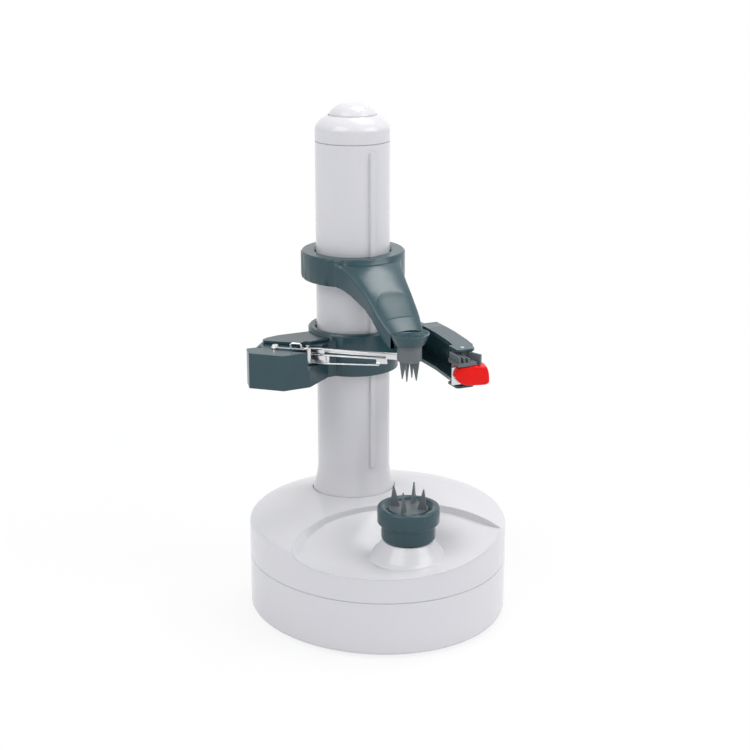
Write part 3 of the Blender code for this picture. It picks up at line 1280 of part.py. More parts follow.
def make_carriage():
    low, high = CARRIAGE_BOTTOM_HEIGHT, CARRIAGE_TOP
    chamfer = COLLAR_CHAMFER
    radius = CARRIAGE_COLLAR_RADIUS
    at = (*SCREW_PLACE, 0)
    carriage = turned("carriage", [
        (0, high), (radius - chamfer, high), (radius, high - chamfer),
        (radius, low), (0, low),
    ], at)
    block = plate("block", OUTRIGGER_OUTLINE, low, OUTRIGGER_TOP, at)
    hollow_outline = inset(OUTRIGGER_OUTLINE, OUTRIGGER_WALL)
    hollow = plate("hollow", hollow_outline, low - OVERRUN, OUTRIGGER_TOP - OUTRIGGER_WALL, at)
    cut(hollow, rod("keep", radius, low - 2 * OVERRUN, high, at, ROUND_STEPS))
    cut(hollow, strip_gate(OUTRIGGER_WALL))
    cut(hollow, rod("keep", STRIP_BARREL_RADIUS, 0, high, (*STRIP_PIN_PLACE, 0)))
    post_place = (POST_POINT[0], TOWER_Y + POST_POINT[1], 0)
    cut(hollow, rod("keep", POST_RADIUS * 2, 0, high, post_place))
    cut(block, hollow)
    joined(carriage, block)
    bearing = math.atan2(PIVOT_POINT[1], PIVOT_POINT[0])
    reach = math.hypot(*PIVOT_POINT)
    lug_web = PIVOT_LUG_RADIUS - PIVOT_LUG_THICKNESS / 3
    for lug_low, lug_high in ((low, LUG_LOW_TOP), (LUG_HIGH_BOTTOM, BLADE_ARM_TOP_HEIGHT)):
        web = box(
            "web", (TOWER_RADIUS, -lug_web, lug_low), (reach, lug_web, lug_high), at
        )
        joined(carriage, turned_about_z(web, bearing))
        joined(carriage, rod("lug", PIVOT_LUG_RADIUS, lug_low, lug_high, (PIVOT_X, PIVOT_Y, 0), 20))
    web = box(
        "web", (TOWER_RADIUS, -PIVOT_LUG_THICKNESS / 2, low),
        (reach - PIVOT_BARREL_RADIUS - RUN * 2, PIVOT_LUG_THICKNESS / 2, BLADE_ARM_TOP_HEIGHT), at,
    )
    joined(carriage, turned_about_z(web, bearing))
    cut(carriage, turned("bore", [
        (0, high + OVERRUN), (COLLAR_BORE + chamfer, high + OVERRUN), (COLLAR_BORE + chamfer, high),
        (COLLAR_BORE, high - chamfer), (COLLAR_BORE, low - OVERRUN), (0, low - OVERRUN),
    ], at))
    cut(carriage, keyway("keyway", low, high))
    cut(carriage, rod(
        "hole", PIVOT_PIN_RADIUS + FIT, low - OVERRUN, high + OVERRUN, (PIVOT_X, PIVOT_Y, 0)
    ))
    cut(carriage, rod("eye", EYE_RADIUS, low, high, (EYE_POINT[0], TOWER_Y + EYE_POINT[1], 0), 12))
    cut(carriage, rod(
        "thread", POST_RADIUS + FIT, OUTRIGGER_TOP - POST_LENGTH - FIT, high, post_place, 12
    ))
    cut(carriage, strip_gate(0))
    cut(carriage, rod(
        "hole", STRIP_PIN_RADIUS + FIT, low + OUTRIGGER_WALL, high, (*STRIP_PIN_PLACE, 0), 12
    ))
    half_x, half_z = KEY_WIDTH / 2 + RUN, KEY_HEIGHT / 2 + RUN
    cut(carriage, box(
        "window", (-half_x, 0, NUT_MIDDLE - half_z),
        (half_x, radius + OVERRUN, NUT_MIDDLE + half_z), at,
    ))
    azimuth = COLLAR_SCREW_AZIMUTH
    middle = (COLLAR_BORE + chamfer + radius - chamfer) / 2
    place = toward(azimuth, middle, SCREW_PLACE)
    cut(carriage, rod(
        "thread", COLLAR_SCREW_RADIUS + FIT, high - COLLAR_SCREW_LENGTH - FIT, high + OVERRUN,
        (*place, 0), 12,
    ))
    finish(carriage, "carriage", "teal_grey")
    head_low = high + FIT
    screw = turned("screw", [
        (0, head_low + COLLAR_SCREW_HEAD_HEIGHT),
        (COLLAR_SCREW_HEAD_RADIUS * 0.7, head_low + COLLAR_SCREW_HEAD_HEIGHT),
        (COLLAR_SCREW_HEAD_RADIUS, head_low), (COLLAR_SCREW_RADIUS, head_low),
        (COLLAR_SCREW_RADIUS, high - COLLAR_SCREW_LENGTH), (0, high - COLLAR_SCREW_LENGTH),
    ], (*place, 0), 12)
    finish(screw, "collar_screw", "steel")


def make_outrigger_fittings():
    at = (*SCREW_PLACE, 0)
    low = OUTRIGGER_TOP + FIT
    lid = plate("lid", [outrigger_point(share) for share in LID_SHARES], low, low + LID_THICKNESS, at)
    cut(lid, rod("ring", CARRIAGE_COLLAR_RADIUS + FIT, 0, HOLDER_BOTTOM, at, ROUND_STEPS))
    cut(lid, rod("room", STRIP_BARREL_RADIUS + RUN, 0, HOLDER_BOTTOM, (*STRIP_PIN_PLACE, 0)))
    finish(lid, "outrigger_lid", "teal_grey", smooth=False)
    post_place = (POST_POINT[0], TOWER_Y + POST_POINT[1], 0)
    post = turned("post", [
        (0, low + POST_HEAD_HEIGHT), (POST_HEAD_RADIUS * 0.7, low + POST_HEAD_HEIGHT * 0.75),
        (POST_HEAD_RADIUS, low), (POST_RADIUS, low),
        (POST_RADIUS, OUTRIGGER_TOP - POST_LENGTH), (0, OUTRIGGER_TOP - POST_LENGTH),
    ], post_place, PIN_STEPS)
    finish(post, "outrigger_post", "steel")
    first, last = (outrigger_point(share) for share in HOOK_SHARES)
    foot = low
    top = foot + HOOK_HEIGHT
    rounding = HOOK_HEIGHT / 3
    along = (Vector(last) - Vector(first)).normalized() * rounding
    points = [
        (*first, foot), (*first, top - rounding), (first[0] + along.x, first[1] + along.y, top),
        (last[0] - along.x, last[1] - along.y, top), (*last, top - rounding), (*last, foot),
    ]
    finish(wire("hook", points, HOOK_WIRE_RADIUS, at), "wire_hook", "steel")


def make_strip():
    at = (*STRIP_PIN_PLACE, 0)
    half = STRIP_DEPTH / 2
    gauge = STRIP_GAUGE

    def channel(x, low, high):
        return [
            (x, -half, low), (x, half, low), (x, half, low + gauge), (x, gauge - half, low + gauge),
            (x, gauge - half, high - gauge), (x, half, high - gauge), (x, half, high), (x, -half, high),
        ]
    tip_low = STRIP_TOP - STRIP_TIP_HEIGHT
    strip = loft("strip", (
        channel(0, STRIP_BOTTOM, STRIP_TOP), channel(STRIP_LENGTH, tip_low, STRIP_TOP),
    ), at)
    middle = (STRIP_TOP + (STRIP_BOTTOM + tip_low) / 2) / 2
    start = (STRIP_LENGTH - STRIP_SLOT_LENGTH) * 0.7
    slot = box(
        "slot", (start, -half - OVERRUN, middle - STRIP_SLOT_HEIGHT / 2),
        (start + STRIP_SLOT_LENGTH, half + OVERRUN, middle + STRIP_SLOT_HEIGHT / 2), at,
    )
    cut(strip, slot)
    joined(strip, rod("barrel", STRIP_BARREL_RADIUS, STRIP_BOTTOM, STRIP_TOP, at))
    cut(strip, rod("bore", STRIP_PIN_RADIUS + RUN, STRIP_BOTTOM - OVERRUN, STRIP_TOP + OVERRUN, at))
    turned_about_z(strip, STRIP_BEARING)
    finish(strip, "steel_strip", "steel", smooth=False)
    low = CARRIAGE_BOTTOM_HEIGHT + OUTRIGGER_WALL + FIT
    finish(rod("pin", STRIP_PIN_RADIUS, low, STRIP_TOP + STRIP_PIN_RADIUS, at), "strip_pin", "steel")


# Blade arm


def arm_point(share, inwards=0.0):
    """Plan point on the blade arm's outer line, moved inwards by a depth."""
    along, out = share
    return (BLADE_ARM_BOW * out - inwards, PIVOT_Y - along * BLADE_ARM_LENGTH)


def make_blade_arm():
    at = (PIVOT_X, PIVOT_Y, 0)
    low, high = ARM_BOTTOM, BLADE_ARM_TOP_HEIGHT
    gauge, flange = BLADE_ARM_GAUGE, BLADE_ARM_FLANGE
    inner_low = low + PIVOT_LUG_THICKNESS + FIT
    inner_high = high - PIVOT_LUG_THICKNESS - FIT
    sections = []
    count = len(BLADE_ARM_SHARES)
    for index, share in enumerate(BLADE_ARM_SHARES):
        x, y = arm_point(share)
        x, y = x - PIVOT_X, y - PIVOT_Y
        opening = 0 if index < 2 else 1
        bottom = inner_low + (low - inner_low) * opening
        top = inner_high + (high - inner_high) * opening
        depth = flange
        sections.append([
            (x, y, bottom), (x, y, top), (x - depth, y, top), (x - depth, y, top - gauge),
            (x - gauge, y, top - gauge), (x - gauge, y, bottom + gauge),
            (x - depth, y, bottom + gauge), (x - depth, y, bottom),
        ])
    arm = loft("arm", sections, at)
    joined(arm, rod("barrel", PIVOT_BARREL_RADIUS, inner_low, inner_high, at, 20))
    end = arm_point(BLADE_ARM_SHARES[-1])
    end_y = end[1] - PIVOT_Y
    end_x = end[0] - PIVOT_X
    depth = flange
    face = box("face", (end_x - depth, end_y - gauge, low), (end_x, end_y + gauge / 2, high), at)
    joined(arm, face)
    ear_low = CARRIER_LOW - FIT
    ear_high = CARRIER_TOP + FIT
    pin_x, pin_y = CARRIER_PLACE[0] - PIVOT_X, CARRIER_PLACE[1] - PIVOT_Y
    ear, reach = CARRIER_EAR_HALF_WIDTH, CARRIER_EAR_REACH
    corner = CARRIER_EAR_CORNER
    for bottom, top in ((low, ear_low), (ear_high, high)):
        outline = [
            (pin_x - ear, end_y), (pin_x - ear, pin_y - reach + corner), (pin_x - ear + corner, pin_y - reach),
            (pin_x + ear - corner, pin_y - reach), (pin_x + ear, pin_y - reach + corner),
            (end_x, end_y),
        ]
        joined(arm, plate("ear", outline, bottom, top, at))
    cut(arm, rod("bore", PIVOT_PIN_RADIUS + RUN, low - OVERRUN, high + OVERRUN, at))
    cut(arm, rod("bore", CARRIER_PIN_RADIUS + FIT, low - OVERRUN, high + OVERRUN, (*CARRIER_PLACE, 0)))
    finish(arm, "blade_arm", "teal_grey")
    pin = turned("pin", [
        (0, high + FIT + PIVOT_HEAD_HEIGHT), (PIVOT_HEAD_RADIUS, high + FIT + PIVOT_HEAD_HEIGHT),
        (PIVOT_HEAD_RADIUS, high + FIT), (PIVOT_PIN_RADIUS, high + FIT),
        (PIVOT_PIN_RADIUS, low), (0, low),
    ], at, PIN_STEPS)
    finish(pin, "blade_arm_pin", "steel")


CARRIER_PLACE = (
    arm_point(BLADE_ARM_SHARES[-1])[0] - CARRIER_PIN_INWARDS,
    arm_point(BLADE_ARM_SHARES[-1])[1] - CARRIER_PIN_DISTANCE,
)


def make_blade_head():
    at = (*CARRIER_PLACE, 0)
    low, high = CARRIER_LOW, CARRIER_TOP
    barrel = CARRIER_BARREL_RADIUS
    carrier = rod("carrier", barrel, low, high, at)
    cap_rear = CAP_SIZE[1] / 2 - CAP_AHEAD_OF_PIN
    cap_x = CAP_BESIDE_PIN
    cap_top = CAP_BOTTOM_HEIGHT + CAP_SIZE[2]
    shelf_low = cap_top + FIT
    shelf = box(
        "shelf", (cap_x - CAP_SIZE[0] / 2 + CAP_CORNER, cap_rear - CAP_SIZE[1] + CAP_CORNER, shelf_low),
        (barrel * 0.8, 0, shelf_low + FLAG_THICKNESS * 1.5), at,
    )
    joined(carrier, shelf)
    back = box(
        "back", (-barrel * 0.9, cap_rear + FIT, low), (barrel * 0.9, 0, high), at,
    )
    joined(carrier, back)
    for index in range(CARRIER_FIN_COUNT):
        x = cap_x - CAP_SIZE[0] / 2 + CAP_CORNER + CARRIER_FIN_PITCH * (index + 0.2)
        top = shelf_low + FLAG_THICKNESS + CARRIER_FIN_HEIGHT * (1 - index * 0.15)
        fin = box(
            "fin", (x, cap_rear - CARRIER_FIN_LENGTH * 0.7, shelf_low + FLAG_THICKNESS / 2),
            (x + CARRIER_FIN_THICKNESS, 0, top), at,
        )
        joined(carrier, fin)
    half = FLAG_THICKNESS / 2
    flag = box("flag", (0, -half, shelf_low), (FLAG_LENGTH, half, high), at)
    joined(carrier, turned_about_z(flag, FLAG_BEARING))
    cut(carrier, rod("bore", CARRIER_PIN_RADIUS + RUN, low - OVERRUN, high + OVERRUN, at))
    finish(carrier, "blade_carrier", "grey_plastic")
    pin = rod("pin", CARRIER_PIN_RADIUS, CARRIAGE_BOTTOM_HEIGHT, BLADE_ARM_TOP_HEIGHT, at, 12)
    finish(pin, "carrier_pin", "steel")
    size = Vector(CAP_SIZE)
    centre = Vector((cap_x, -CAP_AHEAD_OF_PIN, CAP_BOTTOM_HEIGHT + size.z / 2))
    low_corner = centre - size / 2
    faces = []
    for y in (low_corner.y, low_corner.y + size.y):
        faces.append([
            (low_corner.x + size.x * across, y, low_corner.z + size.z * up)
            for across, up in CAP_OUTLINE_SHARES
        ])
    cap = softened(loft("cap", faces, at), CAP_CORNER)
    blade_x = centre.x - size.x / 2
    blade_low = centre.z - BLADE_LENGTH / 2
    blade_high = centre.z + BLADE_LENGTH / 2
    pocket = box(
        "pocket", (blade_x - OVERRUN, centre.y - BLADE_GAUGE / 2 - FIT, blade_low - FIT),
        (blade_x + BLADE_WIDTH + FIT, centre.y + BLADE_GAUGE / 2 + FIT, blade_high + FIT), at,
    )
    cut(cap, pocket)
    finish(cap, "blade_cap", "red_plastic")
    blade = box(
        "blade", (blade_x - BLADE_PROUD, centre.y - BLADE_GAUGE / 2, blade_low),
        (blade_x + BLADE_WIDTH, centre.y + BLADE_GAUGE / 2, blade_high), at,
    )
    finish(blade, "peeling_blade", "steel", smooth=False)


def make_half_nut():
    at = (*SCREW_PLACE, 0)
    half_z = NUT_HEIGHT / 2
    nut = rod("nut", NUT_RADIUS, NUT_MIDDLE - half_z, NUT_MIDDLE + half_z, at, 24)
    cut(nut, box(
        "front", (-NUT_RADIUS - OVERRUN, -NUT_RADIUS - OVERRUN, NUT_MIDDLE - NUT_HEIGHT),
        (NUT_RADIUS + OVERRUN, 0, NUT_MIDDLE + NUT_HEIGHT), at,
    ))
    cut(nut, rod("bore", SCREW_RADIUS + NUT_CLEAR, NUT_MIDDLE - NUT_HEIGHT, NUT_MIDDLE + NUT_HEIGHT, at, 20))
    tab_face = CARRIAGE_COLLAR_RADIUS + FIT
    half_x, half_key = KEY_WIDTH / 2, KEY_HEIGHT / 2
    key = box(
        "key", (-half_x, NUT_RADIUS * 0.8, NUT_MIDDLE - half_key),
        (half_x, tab_face + TAB_THICKNESS / 2, NUT_MIDDLE + half_key), at,
    )
    joined(nut, key)
    tab_half = TAB_WIDTH / 2
    tab = box(
        "tab", (-tab_half, tab_face, NUT_MIDDLE - KEY_HEIGHT * 0.9),
        (tab_half, tab_face + TAB_THICKNESS, NUT_MIDDLE + KEY_HEIGHT * 0.9), at,
    )
    joined(nut, softened(tab, TAB_THICKNESS / 4))
    finish(nut, "carriage_catch", "grey_plastic")


make_tray()
make_cover()
make_feet()
make_base_screws()
make_battery_bay()
make_gears()
make_gear_plate()
make_axles()
make_motor()
make_spindle()
make_tower()
make_lead_screw()
make_cap()
make_holder()
make_top_spike()
make_carriage()
make_outrigger_fittings()
make_strip()
make_blade_arm()
make_blade_head()
make_half_nut()
bpy.context.view_layer.update()
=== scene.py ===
"""Electric peeler: looks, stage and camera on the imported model's frame.

Metres, +Z up. Front is -Y, where the food spindle stands.
"""

import json
import math

import bmesh
import bpy
from bpy.props import FloatProperty, FloatVectorProperty, IntProperty, PointerProperty
from mathutils import Matrix, Vector


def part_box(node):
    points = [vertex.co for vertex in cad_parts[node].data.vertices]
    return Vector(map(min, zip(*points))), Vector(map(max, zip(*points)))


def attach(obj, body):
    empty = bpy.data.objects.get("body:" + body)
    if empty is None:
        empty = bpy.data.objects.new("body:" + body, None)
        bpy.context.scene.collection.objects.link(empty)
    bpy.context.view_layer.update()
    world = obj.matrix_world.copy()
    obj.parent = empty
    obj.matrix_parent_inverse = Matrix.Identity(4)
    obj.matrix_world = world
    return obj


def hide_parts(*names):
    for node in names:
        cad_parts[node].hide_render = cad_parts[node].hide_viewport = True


bl_info = {
    "name": "Electric peeler",
    "version": (1, 0, 0),
    "blender": (4, 5, 0),
    "location": "3D View > Sidebar > Peeler",
    "description": "Finishes and fine pieces of a tabletop electric peeler",
    "category": "Object",
}

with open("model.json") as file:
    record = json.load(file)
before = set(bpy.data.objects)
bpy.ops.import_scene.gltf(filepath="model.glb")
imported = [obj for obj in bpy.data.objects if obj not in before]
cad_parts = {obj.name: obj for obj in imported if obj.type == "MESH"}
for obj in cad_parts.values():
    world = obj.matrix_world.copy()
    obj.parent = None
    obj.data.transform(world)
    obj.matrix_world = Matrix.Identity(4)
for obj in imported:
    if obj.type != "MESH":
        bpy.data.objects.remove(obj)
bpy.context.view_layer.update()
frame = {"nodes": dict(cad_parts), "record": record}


# Sizes and colours


def length(name, text, default):
    """A length property in metres."""
    return FloatProperty(name=name, description=text, default=default, min=0.0, unit="LENGTH", precision=5)


def colour(name, text, default):
    """A colour property."""
    return FloatVectorProperty(
        name=name, description=text, default=default, subtype="COLOR", size=3, min=0.0, max=1.0
    )


def position(name, text, default):
    """A place in metres."""
    return FloatVectorProperty(
        name=name, description=text, default=default, subtype="TRANSLATION", unit="LENGTH"
    )


def wattage(name, text, default):
    """The power of a lamp."""
    return FloatProperty(name=name, description=text, default=default, min=0.0, unit="POWER")


def rotation(name, text, default):
    """An angle, given in degrees."""
    turn = math.radians(default)
    return FloatProperty(name=name, description=text, default=turn, subtype="ANGLE", unit="ROTATION")


def ratio(name, text, default):
    """A slope, a share or another plain number."""
    return FloatProperty(name=name, description=text, default=default, min=0.0, precision=4)


def count(name, text, default):
    """A whole number of steps or copies."""
    return IntProperty(name=name, description=text, default=default, min=3)


class PeelerSizes(bpy.types.PropertyGroup):
    """Sizes of the fine pieces"""

    half_width: length("Base half width", "From the middle of the base to its side", 0.0700)
    front_length: length("Base front length", "From the widest line to the front", 0.0765)
    rear_length: length("Base rear length", "From the widest line to the rear", 0.0690)
    wall: length("Shell wall", "Wall of the base shells", 0.0024)
    seam: length("Seam height", "Where the cover meets the tray", 0.03150)
    deck_edge: length("Deck edge", "Height of the deck at the wall", 0.05175)
    crown: length("Deck crown", "Rise of the deck to its middle", 0.0068)
    crown_power: ratio("Crown power", "How flat the deck is in its middle", 3.5)
    edge_round: length("Deck edge rounding", "Rounding between deck and wall", 0.0032)
    column: length("Screw column", "Radius of the columns round the base screws", 0.0042)
    pilot: length("Pilot hole", "Radius of the base screws' holes", 0.0017)
    spindle_bore: length("Spindle bore", "Radius of the cover's hole for the spindle", 0.0034)
    screw_bore: length("Lead screw bore", "Radius of the cover's hole for the lead screw", 0.0044)
    boss_margin: length("Boss margin", "Wall round the tower's seat", 0.0022)
    boss_depth: length("Boss depth", "Depth of the boss under the tower's seat", 0.0058)
    dish_floor: length("Dish floor", "Height of the dish under the spindle", 0.0432)
    dish_radius: length("Dish outline", "Plan radius of the dish at the deck", 0.0673)
    dish_behind: length("Dish behind the spindle", "How far the dish reaches towards the tower", 0.0365)
    dish_aside: length("Dish aside", "How far the middle of the dish lies to the left", 0.0105)
    dish_fold: length("Dish fold", "Width of the bend between the floor's front and rear slopes", 0.0100)
    dish_lean: ratio("Dish lean", "Slope of the dish's floor up to the right", 0.065)
    dish_bow: ratio("Dish bow", "Rise of the floor to its sides by the square of the way", 2.3)
    dish_tilt: ratio("Dish tilt", "Slope of the floor up to the tower", 0.140)
    dish_lift: ratio("Dish lift", "Slope that the floor gains on both sides of its fold", 0.290)
    dish_slope: ratio("Dish wall run", "Inward run of the dish's wall by its height", 0.12)
    dish_flare: ratio("Dish wall flare", "Run that the wall gains at its left end", 0.85)
    flare_drop: length("Flare drop", "Height of the deck's edge over the flare's foot", 0.0055)
    cone_foot: length("Cone foot", "Radius of the cone at the dish", 0.0184)
    cone_top: length("Cone top", "Radius of the cone under the cup", 0.0140)
    cone_height: length("Cone height", "From the dish floor to the cone's top", 0.0090)
    cone_edge: length("Cone edge", "Break of the cone's upper edge", 0.0006)
    cone_lift: length("Cone lift", "Rise of the dish's floor out to the cone's foot", 0.0010)
    foot_fillet: length("Cone fillet", "Rounding where the cone meets the dish", 0.0026)
    tower_foot: length("Tower foot", "Radius of the seat of the tower's flared foot", 0.0230)
    foot_rise: length("Tower foot height", "Height of the flared foot", 0.0140)
    tower_rise: length("Tower straight part", "From the top of the flared foot to the seam", 0.18165)
    rib_half: length("Rib half width", "From the middle of the guide rib to its side", 0.00165)
    rib_proud: length("Rib height", "How far the rib stands out of the tube", 0.0015)
    rib_root: length("Rib root", "How deep the rib goes into the tube's wall", 0.0012)
    rib_short: length("Rib to seam", "From the rib's head to the seam", 0.0032)
    rib_clear: length("Rib to foot", "From the flared foot to the rib and the slot", 0.0020)
    rib_turn: rotation("Rib turn", "From the front to the rib, towards the right", 7.5)
    slot_half: length("Slot half width", "From the middle of the rear slot to its side", 0.0045)
    slot_top: length("Slot top", "Height of the rear slot's upper end", 0.1611)
    cap_side: length("Cap side", "Height of the cap's straight side", 0.0076)
    cap_wall: length("Cap wall", "Wall of the cap", 0.0020)
    button_hole: length("Button hole", "Radius of the cap's hole", 0.0130)
    button_radius: length("Button radius", "Radius of the button's dome", 0.0126)
    button_side: length("Button side", "Height of the button's edge over the cap", 0.0006)
    button_edge: length("Button edge", "Drop of the dome's edge to the button's side", 0.0002)
    button_skin: length("Button skin", "Wall of the button", 0.0016)
    button_skirt: length("Button skirt", "From the cap's top down to the button's flange", 0.0031)
    button_stem: length("Button stem", "Radius of the stem", 0.0025)
    dome_power: ratio("Dome power", "How flat the button's dome is in its middle", 2.9)
    screw_ring: length("Screw ring", "Height of the ring that parts the plain shaft", 0.0400)
    thread_start: length("Thread start", "Height of the thread's lower end", 0.0620)
    thread_pitch: length("Thread pitch", "Rise of the lead screw in one turn", 0.0040)
    thread_depth: length("Thread depth", "Depth of the lead screw's thread", 0.0009)
    screw_edge: length("Screw edge", "Break of the lead screw's upper edge", 0.0004)
    cup_barrel: length("Cup barrel", "Radius of the cup under its flange", 0.0144)
    cup_edge: length("Cup edge", "Rounding of the cup's rims", 0.0012)
    cup_flange: length("Cup flange", "Height of the cup's flange", 0.0089)
    cup_mouth: length("Cup mouth", "Radius of the cup's hollow at its top", 0.0140)
    cup_depth: length("Cup depth", "Depth of the cup's hollow", 0.0026)
    socket_radius: length("Socket radius", "Radius of the cup's hole for the spindle", 0.0033)
    socket_depth: length("Socket depth", "Depth of the cup's hole for the spindle", 0.0070)
    arm_width: length("Arm width", "Width of the holder arm that its stations share out", 0.0335)
    arm_drop: length("Arm drop", "Fall of the holder arm that its stations share out", 0.0230)
    arm_shoulder: length("Arm shoulder", "From the collar's top to the arm's top", 0.0027)
    arm_lift: length("Arm lift", "Rise of the fine skin over the packed arm", 0.00022)
    arm_skin: length("Arm skin", "Wall of the arm's channel", 0.0022)
    arm_crown: length("Arm crown", "Rise of the arm's top to its middle line", 0.0022)
    arm_bore: length("Arm bore", "Radius that keeps the arm off the tower", 0.0233)
    pad_start: ratio("Pad start", "Where the thumb pad starts, as a share of the way to the spindle", 0.655)
    pad_end: ratio("Pad end", "Where the thumb pad ends, as a share of the way to the spindle", 0.862)
    pad_round: ratio("Pad round", "Length of the thumb pad's round end, as a share of the same way", 0.095)
    pad_width: ratio("Pad width", "Width of the thumb pad as a share of the arm's", 0.80)
    pad_tip: ratio("Pad tip", "Width of the thumb pad's first row as a share of the arm's", 0.06)
    pad_lip: length("Pad lip", "What the thumb pad's start stands higher than its end", 0.00080)
    pad_rest: length("Pad rest", "Height of the thumb pad's lower end over the arm", 0.00008)
    pad_depth: length("Pad depth", "How deep the thumb pad goes into the arm", 0.0006)
    pad_edge: length("Pad edge", "Rounding of the thumb pad's edge", 0.00022)
    strip_half: length("Strip half width", "From the middle of the strip to its side", 0.0015)
    strip_gauge: length("Strip gauge", "Thickness of the strip's rims", 0.0007)
    strip_reach: length("Strip reach", "From the strip's pin to its tip", 0.0500)
    strip_step: length("Strip step", "How far the folds lie inside the strip's back", 0.0001)
    strip_round: length("Strip rounding", "Rounding of the strip's edges", 0.00012)
    strip_bore: length("Strip bore", "Radius of the strip's hole for its pin", 0.0015)
    strip_barrel: length("Strip barrel", "Radius of the strip's barrel", 0.0026)
    barrel_edge: length("Barrel edge", "Break of the barrel's edges", 0.0002)
    strip_turn: rotation("Strip turn", "Clockwise from the right to the strip, seen from above", 39.5)
    leaf_fall: ratio("Leaf fall", "Slope of the lower leaf's upper face along the strip", 0.012)
    rim_fall: ratio("Rim fall", "Slope of the lower leaf's lower rim along the strip", 0.050)
    window_rear: length("Window rear", "From the strip's pin to the window's left end", 0.0050)
    window_front: length("Window front", "From the strip's pin to the window's right end", 0.0120)
    window_open: length("Window opening", "From the strip's middle to the window's open side", 0.0120)
    window_deep: length("Window depth", "From the strip's middle to the window's closed side", 0.0022)
    window_head: length("Window head", "Height of the window over the strip", 0.0060)
    leaf_gauge: length("Leaf gauge", "Height of the spring leaf over the deck", 0.0007)
    leaf_gap: length("Leaf gap", "Gap between the spring leaf and the deck", 0.00002)
    leaf_edge: length("Leaf edge", "Rounding of the spring leaf's edges", 0.0002)
    cap_corner: length("Cap corner", "Rounding of the red cap", 0.0011)
    cap_turn: rotation("Cap turn", "Clockwise turn of the red cap about its middle, seen from above", 14)
    fine_steps: count("Fine steps", "Steps round a large turned piece", 144)


class PeelerColours(bpy.types.PropertyGroup):
    """Colours of the peeler's finishes"""

    shell: colour("Shell", "Glossy white base shells", (0.70, 0.695, 0.715))
    teal: colour("Teal grey", "Glossy dark collars and arms", (0.026, 0.068, 0.082))
    grey: colour("Grey", "Satin grey fittings", (0.12, 0.14, 0.15))
    red: colour("Red", "Blade cap", (0.84, 0.006, 0.004))
    steel: colour("Steel", "Bright stamped steel", (0.74, 0.745, 0.76))
    plated: colour("Plated steel", "Zinc-plated screws", (0.42, 0.43, 0.45))
    rubber: colour("Rubber", "Feet", (0.028, 0.028, 0.030))
    nylon: colour("Nylon", "Gears", (0.76, 0.74, 0.66))
    foil: colour("Foil", "Cell wraps", (0.05, 0.12, 0.19))
    switch: colour("Switch", "Switch body", (0.025, 0.025, 0.028))


class StageSettings(bpy.types.PropertyGroup):
    """Floor, lamps and camera"""

    floor: colour("Floor", "Pale floor", (0.90, 0.90, 0.91))
    aim: position("Lamp aim", "Where the lamps point", (0.0, 0.0, 0.12))
    key_power: wattage("Key lamp", "Power of the key lamp", 7.4)
    key_place: position("Key place", "Where the key lamp hangs", (0.75, -0.75, 1.05))
    key_size: length("Key size", "Side of the key lamp", 0.85)
    fill_power: wattage("Fill lamp", "Power of the fill lamp", 7.5)
    fill_place: position("Fill place", "Where the fill lamp hangs", (-0.85, -0.25, 1.20))
    fill_size: length("Fill size", "Side of the fill lamp", 0.90)
    top_power: wattage("Top lamp", "Power of the top lamp", 6.0)
    top_place: position("Top place", "Where the top lamp hangs", (0.42, 0.25, 1.30))
    top_size: length("Top size", "Side of the top lamp", 0.55)
    sky: FloatProperty(name="Sky", description="Strength of the even light", default=0.47, min=0.0)
    floor_white: FloatProperty(
        name="Floor white", description="How white the floor looks under the shadow", default=0.84,
        min=0.0, max=1.0, subtype="FACTOR",
    )
    white_start: length("White start", "How far from the middle the floor starts to turn white", 0.16)
    white_gain: ratio("White gain", "How fast the floor turns white, per metre", 2.2)
    eye: position("Camera place", "Where the camera stands", (-0.34092, -0.75614, 0.38563))
    gaze: FloatVectorProperty(
        name="Camera gaze", description="Which way the camera looks",
        default=(0.39080, 0.87300, -0.29180), subtype="DIRECTION",
    )
    lens: FloatProperty(name="Lens", description="Focal length in millimetres", default=77.33, min=1.0)


# Shader expressions


class Signal:
    """A shader socket; arithmetic on it adds Math nodes."""

    def __init__(self, nodes, socket):
        self.nodes = nodes
        self.socket = socket

    def math(self, operation, *others, clamp=False):
        values = dict(enumerate((self, *others)))
        return self.nodes.node("ShaderNodeMath", {"operation": operation, "use_clamp": clamp}, values)

    def __add__(self, other):
        return self.math("ADD", other)

    def __sub__(self, other):
        return self.math("SUBTRACT", other)

    def __mul__(self, other):
        return self.math("MULTIPLY", other)

    def __rsub__(self, other):
        return self.nodes.node("ShaderNodeMath", {"operation": "SUBTRACT"}, {0: other, 1: self})

    __radd__ = __add__


class Nodes:
    """Adds nodes to one node tree."""

    def __init__(self, tree):
        self.tree = tree

    def node(self, kind, settings=None, values=None, output=0):
        """Adds one node: settings first, then values or links of its sockets."""
        node = self.tree.nodes.new(kind)
        for key, value in (settings or {}).items():
            setattr(node, key, value)
        for key, value in (values or {}).items():
            if isinstance(value, Signal):
                self.tree.links.new(value.socket, node.inputs[key])
            else:
                node.inputs[key].default_value = value
        return Signal(self, node.outputs[output])

    def seen(self):
        """One for what the camera sees, straight, mirrored or through clear pieces."""
        path = self.tree.nodes.new("ShaderNodeLightPath")
        kinds = ("Camera", "Glossy", "Transmission")
        camera, glossy, clear = (Signal(self, path.outputs[f"Is {kind} Ray"]) for kind in kinds)
        return camera.math("MAXIMUM", glossy).math("MAXIMUM", clear)

    def ends(self, name, signal):
        """Links a shader to the tree's output."""
        self.tree.links.new(signal.socket, self.tree.nodes[name].inputs["Surface"])


